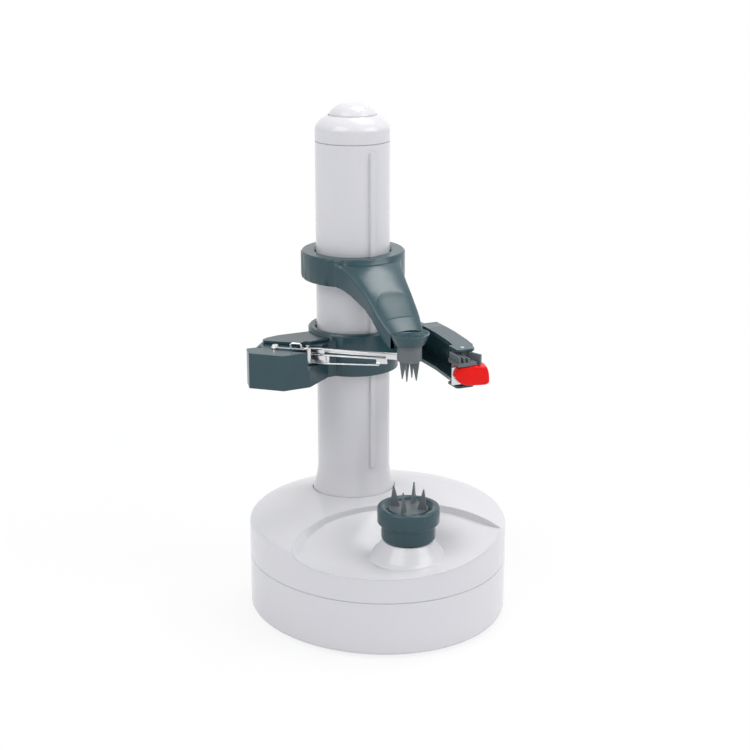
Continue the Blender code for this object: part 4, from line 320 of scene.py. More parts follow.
class Finish(Nodes):
    """One material with a Principled shader, built node by node."""

    def __init__(self, name, base, roughness, metallic=0.0, **constants):
        self.material = bpy.data.materials.new(name)
        self.material.use_nodes = True
        super().__init__(self.material.node_tree)
        self.shader = self.tree.nodes["Principled BSDF"]
        self.base = base
        self.roughness = roughness
        self.shader.inputs["Metallic"].default_value = metallic
        for socket, value in constants.items():
            self.shader.inputs[socket.replace("_", " ")].default_value = value
        self.material.diffuse_color = (*base, 1.0)

    def place(self, stretch=(1.0, 1.0, 1.0)):
        """The surface point in the object's own metres, stretched along the axes."""
        point = self.node("ShaderNodeTexCoord", output="Object")
        return self.node("ShaderNodeVectorMath", {"operation": "MULTIPLY"}, {0: point, 1: stretch})

    def noise(self, size, detail=2.0, stretch=(1.0, 1.0, 1.0), roughness=0.5):
        """Noise whose grains measure about `size` metres, from 0 to 1."""
        return self.node("ShaderNodeTexNoise", {}, {
            "Vector": self.place(stretch), "Scale": 1.0 / size, "Detail": detail, "Roughness": roughness,
        })

    def blended(self, amount, first, second):
        """A colour between two colours."""
        def as_colour(shade):
            return shade if isinstance(shade, Signal) else (*shade, 1.0)
        return self.node(
            "ShaderNodeMix", {"data_type": "RGBA"}, {0: amount, 6: as_colour(first), 7: as_colour(second)},
            output=2,
        )

    def edge(self, radius):
        """Rounded normal and a mask of the edges within `radius`."""
        soft = self.node("ShaderNodeBevel", {"samples": 4}, {"Radius": radius})
        flat = self.node("ShaderNodeNewGeometry", output="Normal")
        cosine = self.node("ShaderNodeVectorMath", {"operation": "DOT_PRODUCT"}, {0: soft, 1: flat}, "Value")
        mask = ((1.0 - cosine) * 4.0).math("MINIMUM", 1.0)
        return soft, mask

    def finished(self, base=None, roughness=None, height=None, depth=0.0001, soft=None):
        """Plugs the varying values into the shader and returns the material."""
        links = self.tree.links
        inputs = self.shader.inputs
        inputs["Base Color"].default_value = (*self.base, 1.0)
        inputs["Roughness"].default_value = self.roughness
        if base is not None:
            links.new(base.socket, inputs["Base Color"])
        if roughness is not None:
            links.new(roughness.socket, inputs["Roughness"])
        normal = soft
        if height is not None:
            values = {"Height": height, "Distance": depth, "Strength": 1.0}
            if soft is not None:
                values["Normal"] = soft
            normal = self.node("ShaderNodeBump", {}, values)
        if normal is not None:
            links.new(normal.socket, inputs["Normal"])
        return self.material


def lighter(shade, factor):
    """The shade with its channels multiplied, at most one."""
    return tuple(min(1.0, channel * factor) for channel in shade)


# Finishes


def shell_gloss(name, shade):
    """Glossy injection-moulded white with a faint ripple, handling haze, soft edges and painted shade
    darkening its edges and creases.
    """
    finish = Finish(name, shade, 0.18, Coat_Weight=0.12, Coat_Roughness=0.04, IOR=1.45)
    soft, edge = finish.edge(0.0009)
    cloud = finish.noise(0.030, 3.0)
    haze = finish.noise(0.004, 4.0, roughness=0.6)
    ripple = finish.noise(0.0055, 1.0)
    base = finish.blended(cloud * 0.35, shade, lighter(shade, 0.955))
    # painted shade: the shell's colour turns darker along its edges and creases
    base = finish.blended(edge * 0.25, base, lighter(shade, 0.90))
    roughness = 0.15 + haze * 0.07 + edge * 0.05
    return finish.finished(base, roughness, ripple, 0.00002, soft)


def teal_gloss(name, shade):
    """Glossy dark moulding: flow streaks, faint rub marks and a painted highlight that makes its edges paler.
    """
    finish = Finish(name, shade, 0.24, IOR=1.46)
    soft, edge = finish.edge(0.00045)
    cloud = finish.noise(0.022, 3.0)
    streak = finish.noise(0.0030, 4.0, (1.0, 1.0, 0.12), 0.6)
    speck = finish.noise(0.0007, 2.0)
    base = finish.blended(cloud, lighter(shade, 0.88), lighter(shade, 1.14))
    # painted highlight: the colour turns paler along the edges
    base = finish.blended(edge * 0.30, base, lighter(shade, 1.9))
    roughness = 0.18 + streak * 0.14 + edge * 0.08
    return finish.finished(base, roughness, speck * 0.4 + streak * 0.6, 0.00003, soft)


def satin_grey(name, shade):
    """Spark-eroded satin grain with a painted highlight along its edges."""
    finish = Finish(name, shade, 0.42, IOR=1.48)
    soft, edge = finish.edge(0.00035)
    grain = finish.noise(0.00045, 3.0)
    cloud = finish.noise(0.012, 2.0)
    base = finish.blended(cloud, lighter(shade, 0.9), lighter(shade, 1.12))
    # painted highlight: the colour turns paler along the edges
    base = finish.blended(edge * 0.35, base, lighter(shade, 1.8))
    return finish.finished(base, 0.36 + grain * 0.16, grain, 0.00006, soft)


def red_gloss(name, shade):
    """Glossy red moulding with a painted highlight along its edges."""
    finish = Finish(name, shade, 0.25, IOR=1.42, Specular_IOR_Level=0.25)
    soft, edge = finish.edge(0.0006)
    cloud = finish.noise(0.008, 2.0)
    grain = finish.noise(0.0009, 2.0)
    base = finish.blended(cloud, lighter(shade, 0.90), lighter(shade, 1.12))
    # painted highlight: the colour turns paler along the edges
    base = finish.blended(edge * 0.3, base, lighter(shade, 1.25))
    return finish.finished(base, 0.20 + grain * 0.10, grain, 0.00003, soft)


def bright_steel(name, shade, stretch=(1.0, 1.0, 0.08)):
    """Stamped strip steel with rolling lines and a painted highlight along its edges."""
    finish = Finish(name, shade, 0.22, 1.0)
    soft, edge = finish.edge(0.00025)
    line = finish.noise(0.00050, 2.0, stretch, 0.5)
    cloud = finish.noise(0.010, 3.0)
    base = finish.blended(cloud, lighter(shade, 0.86), lighter(shade, 1.04))
    # painted highlight: the colour turns paler along the edges
    base = finish.blended(edge * 0.5, base, lighter(shade, 1.25))
    return finish.finished(base, 0.14 + line * 0.10 + cloud * 0.06, line, 0.00001, soft)


def plated_steel(name, shade):
    """Zinc-plated screw steel with a grainy passivation."""
    finish = Finish(name, shade, 0.34, 1.0)
    soft, edge = finish.edge(0.0002)
    grain = finish.noise(0.00035, 3.0)
    base = finish.blended(grain, lighter(shade, 0.8), lighter(shade, 1.2))
    return finish.finished(base, 0.28 + grain * 0.18 - edge * 0.05, grain, 0.00004, soft)


def foot_rubber(name, shade):
    """Matte rubber with pores, a dusty bloom and a painted highlight along its edges."""
    finish = Finish(name, shade, 0.82)
    soft, edge = finish.edge(0.0004)
    pore = finish.noise(0.00040, 4.0)
    bloom = finish.noise(0.004, 3.0)
    # the noise is a dusty bloom; the edge share is a painted highlight that makes the edges paler
    base = finish.blended(bloom * 0.6 + edge * 0.3, shade, lighter(shade, 2.2))
    return finish.finished(base, 0.72 + bloom * 0.18, pore, 0.00010, soft)


def gear_nylon(name, shade):
    """Natural nylon with flow lines and a little grease."""
    finish = Finish(name, shade, 0.45, Subsurface_Weight=0.05, IOR=1.53)
    soft = finish.edge(0.00025)[0]
    flow = finish.noise(0.003, 3.0)
    grease = finish.noise(0.006, 4.0)
    wet = (grease * 3.0 - 1.35).math("MAXIMUM", 0.0).math("MINIMUM", 1.0)
    base = finish.blended(flow, lighter(shade, 0.92), lighter(shade, 1.05))
    base = finish.blended(wet * 0.35, base, lighter(shade, 0.72))
    return finish.finished(base, 0.46 - wet * 0.25, flow, 0.00005, soft)


def cell_wrap(name, shade, low, high):
    """Shrink-wrapped cell: coloured sleeve between bare metal ends."""
    finish = Finish(name, shade, 0.32)
    soft = finish.edge(0.0003)[0]
    point = finish.place()
    along = finish.node("ShaderNodeSeparateXYZ", {}, {0: point}, "Y")
    span, bare, plain, sharp = high - low, 0.035, 0.70, 4000.0
    near = (along - (low + span * bare)).math("MULTIPLY", sharp, clamp=True)
    far = ((high - span * bare) - along).math("MULTIPLY", sharp, clamp=True)
    band = (along - (low + span * plain)).math("MULTIPLY", sharp, clamp=True)
    sleeve = near * far
    metal = (0.62, 0.62, 0.64)
    base = finish.blended(band, shade, (0.55, 0.50, 0.36))
    base = finish.blended(sleeve, metal, base)
    scuff = finish.noise(0.002, 3.0)
    finish.tree.links.new((1.0 - sleeve * 0.8).socket, finish.shader.inputs["Metallic"])
    return finish.finished(base, 0.24 + scuff * 0.16, scuff, 0.00004, soft)


def switch_black(name, shade):
    """Black switch moulding with a painted highlight along its edges."""
    finish = Finish(name, shade, 0.45)
    soft, edge = finish.edge(0.0003)
    grain = finish.noise(0.0006, 3.0)
    # painted highlight: the colour turns paler along the edges
    base = finish.blended(edge * 0.5, shade, lighter(shade, 2.4))
    return finish.finished(base, 0.40 + grain * 0.15, grain, 0.00005, soft)


FINISH_CACHE = {}


def finish_for(slot):
    """The material of a record slot, made once."""
    if slot in FINISH_CACHE:
        return FINISH_CACHE[slot]
    shades = bpy.context.scene.peeler_colours
    makers = {
        "white_shell": lambda: shell_gloss("white_shell", tuple(shades.shell)),
        "teal_grey": lambda: teal_gloss("teal_grey", tuple(shades.teal)),
        "grey_plastic": lambda: satin_grey("grey_plastic", tuple(shades.grey)),
        "red_plastic": lambda: red_gloss("red_plastic", tuple(shades.red)),
        "steel": lambda: bright_steel("steel", tuple(shades.steel)),
        "dark_steel": lambda: plated_steel("dark_steel", tuple(shades.plated)),
        "rubber": lambda: foot_rubber("rubber", tuple(shades.rubber)),
        "gear_nylon": lambda: gear_nylon("gear_nylon", tuple(shades.nylon)),
        "cell_foil": lambda: cell_wrap(
            "cell_foil", tuple(shades.foil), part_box("battery_cell_1")[0][1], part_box("battery_cell_1")[1][1]
        ),
        "switch_black": lambda: switch_black("switch_black", tuple(shades.switch)),
    }
    FINISH_CACHE[slot] = makers[slot]()
    return FINISH_CACHE[slot]


def dress(*names):
    """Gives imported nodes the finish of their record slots."""
    slots = {entry["node"]: entry["material_slot"] for entry in frame["record"]["subparts"]}
    for name in names:
        node = frame["nodes"][name]
        node.data.materials.clear()
        node.data.materials.append(finish_for(slots[name]))


# Mesh makers


def middle(box):
    """Where the upright middle line of a box stands."""
    low, high = box
    return ((low[0] + high[0]) / 2, (low[1] + high[1]) / 2)


SPINDLE = (0.0, middle(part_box("spindle_gear"))[1])
TOWER = (0.0, middle(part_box("tower_tube"))[1])
CLEAR = 0.0003
OVERRUN = 0.0010


def linked(name, bm):
    """Puts a finished bmesh into the scene as an object."""
    bmesh.ops.recalc_face_normals(bm, faces=bm.faces)
    mesh = bpy.data.meshes.new(name)
    bm.to_mesh(mesh)
    bm.free()
    piece = bpy.data.objects.new(name, mesh)
    bpy.context.scene.collection.objects.link(piece)
    return piece


def fitted(piece, body, slot, *nodes, angle=35.0):
    """Shades a piece, gives it its finish and lets it ride on its body for the nodes that it replaces."""
    mesh = piece.data
    mesh.shade_smooth()
    mesh.set_sharp_from_angle(angle=math.radians(angle))
    mesh.materials.clear()
    mesh.materials.append(finish_for(slot))
    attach(piece, body)
    if nodes:
        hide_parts(*nodes)
    return piece


def turned(name, profile, centre, steps, stretch=(1.0, 1.0)):
    """A profile of (radius, height) turned about an upright axis; front and rear may stretch."""
    bm = bmesh.new()
    rings = []
    for radius, height in profile:
        ring = []
        for index in range(steps if radius > 0 else 1):
            angle = 2 * math.pi * index / steps
            x, y = radius * math.cos(angle), radius * math.sin(angle)
            y *= stretch[0] if y < 0 else stretch[1]
            ring.append(bm.verts.new((centre[0] + x, centre[1] + y, height)))
        rings.append(ring)
    if len(rings[0]) > 1 and len(rings[-1]) > 1:
        rings.append(rings[0])
    for lower, upper in zip(rings, rings[1:]):
        for index in range(steps):
            after = index + 1
            corners = []
            for ring, place in ((lower, index), (lower, after), (upper, after), (upper, index)):
                corner = ring[place % len(ring)]
                if corner not in corners:
                    corners.append(corner)
            if len(corners) > 2:
                bm.faces.new(corners)
    return linked(name, bm)


def rod(name, radius, low, high, centre, steps=48):
    """An upright cylinder with plain ends."""
    return turned(name, [(0, high), (radius, high), (radius, low), (0, low)], centre, steps)


def block(name, low, high):
    """A block between two corners."""
    bm = bmesh.new()
    bmesh.ops.create_cube(bm, size=1.0)
    low, high = Vector(low), Vector(high)
    bmesh.ops.scale(bm, vec=high - low, verts=bm.verts)
    bmesh.ops.translate(bm, vec=(low + high) / 2, verts=bm.verts)
    return linked(name, bm)


def loft(name, sections):
    """A skin over sections of equal point counts, closed at both ends."""
    bm = bmesh.new()
    rings = [[bm.verts.new(point) for point in section] for section in sections]
    for lower, upper in zip(rings, rings[1:]):
        for index in range(len(lower)):
            after = (index + 1) % len(lower)
            bm.faces.new((lower[index], lower[after], upper[after], upper[index]))
    bm.faces.new(rings[0])
    bm.faces.new(rings[-1])
    return linked(name, bm)


def baked(piece):
    """Applies the piece's modifiers."""
    bpy.context.view_layer.update()
    graph = bpy.context.evaluated_depsgraph_get()
    mesh = bpy.data.meshes.new_from_object(piece.evaluated_get(graph))
    piece.modifiers.clear()
    piece.data = mesh
    return piece


def combined(piece, tool, operation="DIFFERENCE"):
    """Cuts a tool out of a piece, or joins or keeps what they share, and removes the tool."""
    change = piece.modifiers.new("combine", "BOOLEAN")
    change.solver = "EXACT"
    change.operation = operation
    change.object = tool
    baked(piece)
    bpy.data.objects.remove(tool)
    return piece


def rounded(piece, width, segments=3, angle=40.0):
    """Rounds the piece's sharp edges."""
    change = piece.modifiers.new("round", "BEVEL")
    change.width = width
    change.segments = segments
    change.limit_method = "ANGLE"
    change.angle_limit = math.radians(angle)
    return baked(piece)


def softened_line(points, rounds=2):
    """A polyline with its corners cut, both ends kept."""
    for _ in range(rounds):
        line = [points[0]]
        for (x0, y0), (x1, y1) in zip(points, points[1:]):
            line.append((x0 * 0.75 + x1 * 0.25, y0 * 0.75 + y1 * 0.25))
            line.append((x0 * 0.25 + x1 * 0.75, y0 * 0.25 + y1 * 0.75))
        line.append(points[-1])
        points = line
    return points


def arc(x, y, radius, start, end, steps=6):
    """Points on an arc; angles in degrees."""
    angles = [math.radians(start + (end - start) * index / steps) for index in range(steps + 1)]
    return [(x + radius * math.cos(angle), y + radius * math.sin(angle)) for angle in angles]


def welded(node):
    """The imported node's shape with its corners welded and its flat faces whole."""
    bm = bmesh.new()
    bm.from_mesh(frame["nodes"][node].data)
    bmesh.ops.remove_doubles(bm, verts=bm.verts, dist=0.00001)
    bmesh.ops.dissolve_limit(bm, angle_limit=math.radians(0.5), verts=bm.verts, edges=bm.edges)
    return bm


def ringed(bm, centre, cuts=3, stretch=(1.0, 1.0), spare=None):
    """Splits the level ring edges about an upright axis and lays the new corners on their circles.

    Edges inside the box `spare` stay as they are.
    """
    def polar(point):
        x, y = point.x - centre[0], point.y - centre[1]
        y /= stretch[0] if y < 0 else stretch[1]
        return math.hypot(x, y), math.atan2(y, x)

    margin, level_gap, reach_gap, least, most, widest, sag = 0.0015, 0.00002, 0.00003, 0.001, 0.1, 0.6, 0.06
    ring_edges = []
    reaches = {}
    for edge in bm.edges:
        first, last = (polar(vert.co) for vert in edge.verts)
        halfway = (edge.verts[0].co + edge.verts[1].co) / 2
        if spare and all(spare[0][i] - margin < halfway[i] < spare[1][i] + margin for i in range(3)):
            continue
        level = abs(edge.verts[0].co.z - edge.verts[1].co.z) < level_gap
        turn = abs((first[1] - last[1] + math.pi) % (2 * math.pi) - math.pi)
        if level and abs(first[0] - last[0]) < reach_gap and least < first[0] < most and turn < widest:
            ring_edges.append(edge)
            key = round(edge.verts[0].co.z, 5)
            reaches.setdefault(key, set()).add((first[0] + last[0]) / 2)
    made = bmesh.ops.subdivide_edges(bm, edges=ring_edges, cuts=cuts, use_grid_fill=False)
    for vert in made["geom_inner"]:
        if not isinstance(vert, bmesh.types.BMVert):
            continue
        reach, angle = polar(vert.co)
        near = [r for key in reaches if abs(key - vert.co.z) < reach_gap for r in reaches[key]]
        near = [r for r in near if -0.00001 < r - reach < sag * r]
        if not near:
            continue
        true = min(near)
        y = true * math.sin(angle)
        vert.co.x = centre[0] + true * math.cos(angle)
        vert.co.y = centre[1] + y * (stretch[0] if y < 0 else stretch[1])
    return bm


def remade(name, node, *rings):
    """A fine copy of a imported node, true round about the axis that each ring gives."""
    bm = welded(node)
    for ring in rings:
        ringed(bm, *ring)
    return linked(name, bm)


# Base


def base_stretch():
    """Front and rear of the base's outline against its half width."""
    sizes = bpy.context.scene.peeler_sizes
    return (sizes.front_length / sizes.half_width, sizes.rear_length / sizes.half_width)


def base_waist():
    """Where the base is widest."""
    sizes = bpy.context.scene.peeler_sizes
    return (0.0, (sizes.front_length - sizes.rear_length) / 2)


def deck_profile(sizes, inwards, bottom):
    """The cover's skin moved inwards by a wall, closed at the bottom."""
    radius = sizes.half_width - inwards
    height = sizes.deck_edge - inwards + sizes.crown / 8
    edge = max(sizes.edge_round - inwards, sizes.edge_round / 4)
    points = []
    for index in range(10):
        share = 0.90 * index / 9
        rise = sizes.crown * (1 - share ** sizes.crown_power)
        points.append((share * radius, sizes.deck_edge + rise - inwards))
    points += arc(radius - edge, height - edge, edge, 72, 0, 8)
    return points + [(radius, bottom), (0, bottom)]


def dish_height(sizes, x, y):
    """Height of the dish's floor: it rises a little to the sides and front and most towards the tower."""
    ahead = y - SPINDLE[1]
    fold = math.hypot(ahead, sizes.dish_fold) - sizes.dish_fold
    sideways = sizes.dish_lean * x + sizes.dish_bow * x * x
    return sizes.dish_floor - CLEAR + sideways + sizes.dish_tilt * ahead + sizes.dish_lift * fold


def flared(across, along):
    """How far a place on the dish's wall lies in the flare at its left end, from 0 to 1."""
    start, full, front = 112, 138, 270
    angle = math.degrees(math.atan2(along, across)) % 360
    return min(1.0, max(0.0, (angle - start) / (full - start))) if angle < front else 0.0


def dish_room(sizes, grow, steps):
    """The room of the dish, grown by a wall for the hollow below it."""
    deck = sizes.deck_edge + sizes.crown
    top = deck + 5 * OVERRUN
    low = sizes.dish_floor - 8 * OVERRUN - grow
    centre = (-sizes.dish_aside, SPINDLE[1] + sizes.dish_behind - sizes.dish_radius)
    reach = sizes.dish_radius + grow
    outline = turned("outline", [(0, top), (reach, top), (reach, low), (0, low)], centre, steps)
    for vertex in outline.data.vertices:
        across, along = vertex.co.x - centre[0], vertex.co.y - centre[1]
        flare = flared(across, along)
        slope = sizes.dish_slope + sizes.dish_flare * flare
        scale = 1 + (vertex.co.z - deck + sizes.flare_drop * flare) * slope / reach
        vertex.co.x, vertex.co.y = centre[0] + across * scale, centre[1] + along * scale
    rings = [(5 * OVERRUN * index, 0) for index in range(19)]
    room = turned("room", [(0, top * 2), *rings, (rings[-1][0], top * 2)], SPINDLE, steps)
    for vertex in room.data.vertices:
        if vertex.co.z < top:
            vertex.co.z = min(dish_height(sizes, vertex.co.x, vertex.co.y) - grow, top * 1.5)
    return combined(outline, room, "INTERSECT")


def make_cover(sizes):
    """The crowned cover with its dish, the cone with a filleted foot and the tower's seat."""
    steps, stretch, waist = sizes.fine_steps, base_stretch(), base_waist()
    cover = turned("base_cover_fine", deck_profile(sizes, 0.0, sizes.seam), waist, steps, stretch)
    combined(cover, dish_room(sizes, 0.0, steps))
    foot, top, fillet = sizes.cone_foot, sizes.cone_top, sizes.foot_fillet
    head = sizes.dish_floor + sizes.cone_height
    floor = dish_height(sizes, *SPINDLE) + sizes.cone_lift
    slope = (foot - top) / sizes.cone_height
    flare = [(foot + fillet * 1.4, floor - fillet * 0.45), (foot + fillet * 0.8, floor + fillet * 0.02)]
    flare += [(foot + fillet * 0.34, floor + fillet * 0.22), (foot + fillet * 0.02, floor + fillet * 0.62)]
    flare += [(foot - fillet * slope * 1.5, floor + fillet * 1.5)]
    edge = sizes.cone_edge
    profile = [(0, head), (top - edge, head), (top - edge / 6, head - edge * 5 / 6)]
    profile += list(reversed(softened_line(flare, 2)))
    profile += [(foot + fillet * 1.4, floor - sizes.wall * 0.8), (0, floor - sizes.wall * 0.8)]
    combined(cover, turned("cone", profile, SPINDLE, steps), "UNION")
    void = turned("void", deck_profile(sizes, sizes.wall, sizes.seam - OVERRUN), waist, 36, stretch)
    combined(void, dish_room(sizes, sizes.wall, 36))
    deck = sizes.deck_edge + sizes.crown
    for index in range(1, 5):
        place = middle(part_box(f"base_screw_{index}"))
        combined(void, rod("column", sizes.column, 0.0, deck, place, 24))
    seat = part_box("tower_tube")[0][2] - CLEAR
    combined(void, rod("boss", sizes.tower_foot + sizes.boss_margin, seat - sizes.boss_depth, deck, TOWER))
    combined(cover, void)
    combined(cover, rod("seat", sizes.tower_foot + CLEAR, seat, deck + OVERRUN, TOWER, steps))
    combined(cover, rod("bore", sizes.spindle_bore, sizes.seam, deck, SPINDLE))
    combined(cover, rod("bore", sizes.screw_bore, sizes.seam, deck, TOWER))
    for index in range(1, 5):
        low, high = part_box(f"base_screw_{index}")
        pilot = rod("pilot", sizes.pilot, sizes.seam - OVERRUN, high[2] + CLEAR, middle((low, high)), 16)
        combined(cover, pilot)
    return cover


# Tower, cap and button


def make_tube(sizes):
    """The tube with its flared foot, the rib with its round head and the slot at the rear."""
    low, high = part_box("tower_tube")
    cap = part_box("tower_cap")
    radius = (cap[1][0] - cap[0][0]) / 2
    foot, half, seam = sizes.tower_foot, sizes.rib_half, high[2]
    inner, foot_top = radius - sizes.wall, seam - sizes.tower_rise
    profile = [(radius, seam), (radius, foot_top)]
    for index in range(1, 13):
        share = index / 12
        profile.append((radius + (foot - radius) * share ** 2, foot_top - sizes.foot_rise * share))
    profile += [(foot, low[2]), (inner, low[2]), (inner, seam)]
    tube = turned("tower_tube_fine", profile, TOWER, sizes.fine_steps)
    start = foot_top + sizes.rib_clear
    outline = arc(0.0, seam - sizes.rib_short - half, half, 0, 180, 12) + [(-half, start), (half, start)]
    reaches = (radius + sizes.rib_proud, radius - sizes.rib_root)
    rib = loft("rib", [[(x, -reach, z) for x, z in outline] for reach in reaches])
    place = Matrix.Translation((*TOWER, 0.0))
    rib.data.transform(place @ Matrix.Rotation(sizes.rib_turn, 4, "Z"))
    combined(tube, rib, "UNION")
    slot = block("slot", (-sizes.slot_half, 0.0, start), (sizes.slot_half, radius + OVERRUN, sizes.slot_top))
    slot.data.transform(place)
    return combined(tube, slot)


def make_cap(sizes):
    """The cap: a straight side, a softly broken shoulder and a spigot into the tube."""
    low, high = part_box("tower_cap")
    radius = (high[0] - low[0]) / 2
    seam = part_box("tower_tube")[1][2] + CLEAR / 3
    side, top, hole, wall = seam + sizes.cap_side, high[2], sizes.button_hole, sizes.cap_wall
    run, rise = radius - hole, top - side
    shoulder = [(hole, top), (hole + run * 0.35, side + rise * 0.78), (hole + run * 0.70, side + rise * 0.44)]
    shoulder += [(radius, side), (radius, side - wall * 1.1)]
    spigot = radius - sizes.wall - CLEAR
    profile = softened_line(shoulder, 2)
    profile += [(radius, seam + CLEAR), (radius - CLEAR, seam), (spigot, seam), (spigot, low[2])]
    profile += [(spigot - wall, low[2]), (spigot - wall / 2, side)]
    profile += [(hole + wall * 0.9, top - wall * 1.25), (hole, top - wall)]
    return turned("tower_cap_fine", profile, TOWER, sizes.fine_steps)


def make_button(sizes):
    """The domed power button with its skirt, flange and stem."""
    low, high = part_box("power_button")
    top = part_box("tower_cap")[1][2]
    flange = (high[0] - low[0]) / 2
    radius, skin, stem = sizes.button_radius, sizes.button_skin, sizes.button_stem
    side, ledge = top + sizes.button_side, top - sizes.button_skirt
    dome = high[2] - side
    profile = [(0, high[2])]
    for index in range(1, 12):
        share = 0.985 * index / 11
        profile.append((radius * share, side + dome * (1 - share ** sizes.dome_power)))
    profile += [(radius, side - sizes.button_edge), (radius, ledge), (flange, ledge), (flange, ledge - skin)]
    profile += [(radius - skin, ledge - skin), (radius - skin, side - skin), (stem, side - skin)]
    profile += [(stem, low[2]), (0, low[2])]
    return turned("power_button_fine", profile, TOWER, sizes.fine_steps)


def make_lead_screw(sizes):
    """The lead screw with its rounded thread between plain ends."""
    low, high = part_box("lead_screw")
    radius = (high[0] - low[0]) / 2
    pitch, steps = sizes.thread_pitch, 24
    start, end = sizes.thread_start, high[2] - pitch
    rises = int((end - start) / (pitch / 7))
    heights = [low[2], sizes.screw_ring, start]
    heights += [start + (end - start) * (index + 1) / rises for index in range(rises)]
    heights += [high[2] - sizes.screw_edge, high[2]]
    bm = bmesh.new()
    rings = []
    for height in heights:
        ring = []
        ramp = min(1.0, max(0.0, min(height - start, end - height) / pitch))
        for index in range(steps):
            angle = 2 * math.pi * index / steps
            wave = 0.5 - 0.5 * math.cos(2 * math.pi * height / pitch - angle)
            reach = radius - sizes.thread_depth * ramp * min(1.0, wave * 1.6)
            if height == heights[-1]:
                reach -= sizes.screw_edge
            x, y = reach * math.cos(angle), reach * math.sin(angle)
            ring.append(bm.verts.new((TOWER[0] + x, TOWER[1] + y, height)))
        rings.append(ring)
    for lower, upper in zip(rings, rings[1:]):
        for index in range(steps):
            after = (index + 1) % steps
            bm.faces.new((lower[index], lower[after], upper[after], upper[index]))
    bm.faces.new(rings[0])
    bm.faces.new(rings[-1])
    return linked("lead_screw_fine", bm)


# Food cup


def make_cup(sizes):
    """The cup's flange and barrel with rounded rims and its hollow top."""
    low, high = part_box("food_cup")
    rim, barrel, mouth, edge = (high[0] - low[0]) / 2, sizes.cup_barrel, sizes.cup_mouth, sizes.cup_edge
    top, bottom, ledge = high[2], low[2], high[2] - sizes.cup_flange
    floor, hole, roof = top - sizes.cup_depth, sizes.socket_radius, bottom + sizes.socket_depth
    profile = [(0, floor), (mouth - edge * 2.75, floor), (mouth - edge, top - edge * 5 / 12)]
    profile += [(mouth - edge / 2, top - edge / 12), (mouth, top)]
    profile += arc(rim - edge, top - edge, edge, 90, 0)
    profile += arc(rim - edge / 2, ledge + edge / 2, edge / 2, 0, -90, 3)
    profile += [(barrel + edge * 2 / 3, ledge - edge / 6), (barrel + edge / 12, ledge - edge)]
    profile += arc(barrel - edge, bottom + edge, edge, 0, -90)
    profile += [(hole, bottom), (hole, roof), (0, roof)]
    return turned("food_cup_fine", profile, SPINDLE, sizes.fine_steps)


# Holder arm


# Way from the tower to the spindle, fall and width as shares, and wall height in metres
ARM_STATIONS = (
    (0.200, 0.000, 1.200, 0.0120), (0.285, 0.000, 1.150, 0.0120), (0.345, 0.055, 1.030, 0.0115),
    (0.439, 0.175, 0.925, 0.0105), (0.535, 0.330, 0.845, 0.0094), (0.640, 0.510, 0.784, 0.0078),
    (0.715, 0.668, 0.746, 0.0070), (0.793, 0.835, 0.709, 0.0076), (0.880, 1.025, 0.640, 0.0084),
    (0.960, 1.190, 0.560, 0.0074),
)


def eased(stations, steps):
    """The stations with smooth ones between them."""
    line = []
    end = len(stations) - 1
    for index in range(end):
        before, first = stations[max(index - 1, 0)], stations[index]
        last, after = stations[index + 1], stations[min(index + 2, end)]
        for step in range(steps):
            t = step / steps
            line.append(tuple(
                b + 0.5 * t * (c - a + t * (2 * a - 5 * b + 4 * c - d + t * (3 * (b - c) + d - a)))
                for a, b, c, d in zip(before, first, last, after)
            ))
    return line + [stations[-1]]


def arm_line(sizes, station):
    """Place, top, half width, wall and crown of the arm at a station."""
    along, drop, width, wall = station
    reach = TOWER[1] - SPINDLE[1]
    fall = sizes.arm_shoulder + sizes.arm_drop * drop - sizes.arm_lift * along
    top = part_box("holder_arm")[1][2] - fall
    return TOWER[1] - along * reach, top, sizes.arm_width * width / 2, wall, sizes.arm_crown * width


def make_arm_channel(sizes):
    """The arm: a crowned skin with a wall on each side, drooping from the collar to the hub."""
    skin, sections = sizes.arm_skin, []
    for station in eased(ARM_STATIONS, 5):
        y, top, half, wall, crown = arm_line(sizes, station)
        inner, foot = half - skin, top - wall
        section = [(half, y, foot)]
        for x, z in arc(0.0, 0.0, 1.0, 0, 180, 18):
            section.append((half * x, y, top - skin / 2 + (crown + skin / 2) * z))
        section += [(-half, y, foot), (-inner, y, foot)]
        for share in (-1.0, -0.6, 0.0, 0.6, 1.0):
            section.append((inner * share, y, top - skin + crown * (1 - share ** 2)))
        section.append((inner, y, foot))
        sections.append(section)
    arm = loft("holder_arm_channel", sections)
    low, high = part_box("holder_arm")
    return combined(arm, rod("bore", sizes.arm_bore, low[2], high[2] + OVERRUN, TOWER, 96))


def make_thumb_pad(sizes):
    """The shallow round-ended pad on the arm above its hub."""
    start, end = sizes.pad_start, sizes.pad_end
    stations = [station for station in eased(ARM_STATIONS, 8) if start <= station[0] <= end]
    sections = []
    for index, station in enumerate(stations):
        y, top, half, _, crown = arm_line(sizes, station)
        ahead = min(1.0, (station[0] - stations[0][0]) / sizes.pad_round)
        reach = max(sizes.pad_width * math.sqrt(1 - (1 - ahead) ** 2), sizes.pad_tip)
        shoulder = sizes.arm_skin / 2
        proud = sizes.pad_lip * (1 - index / len(stations)) ** 1.5 + sizes.pad_rest
        row = []
        for step in range(13):
            x = reach * (1 - step / 6)
            row.append((half * x, y, top - shoulder + (crown + shoulder) * math.sqrt(1 - x * x)))
        upper = [(x, y, z + proud) for x, y, z in row]
        lower = [(x, y, z - sizes.pad_depth) for x, y, z in reversed(row)]
        sections.append(upper + lower)
    return rounded(loft("thumb_pad", sections), sizes.pad_edge, 2, 50.0)


# Steel strip and its spring leaf


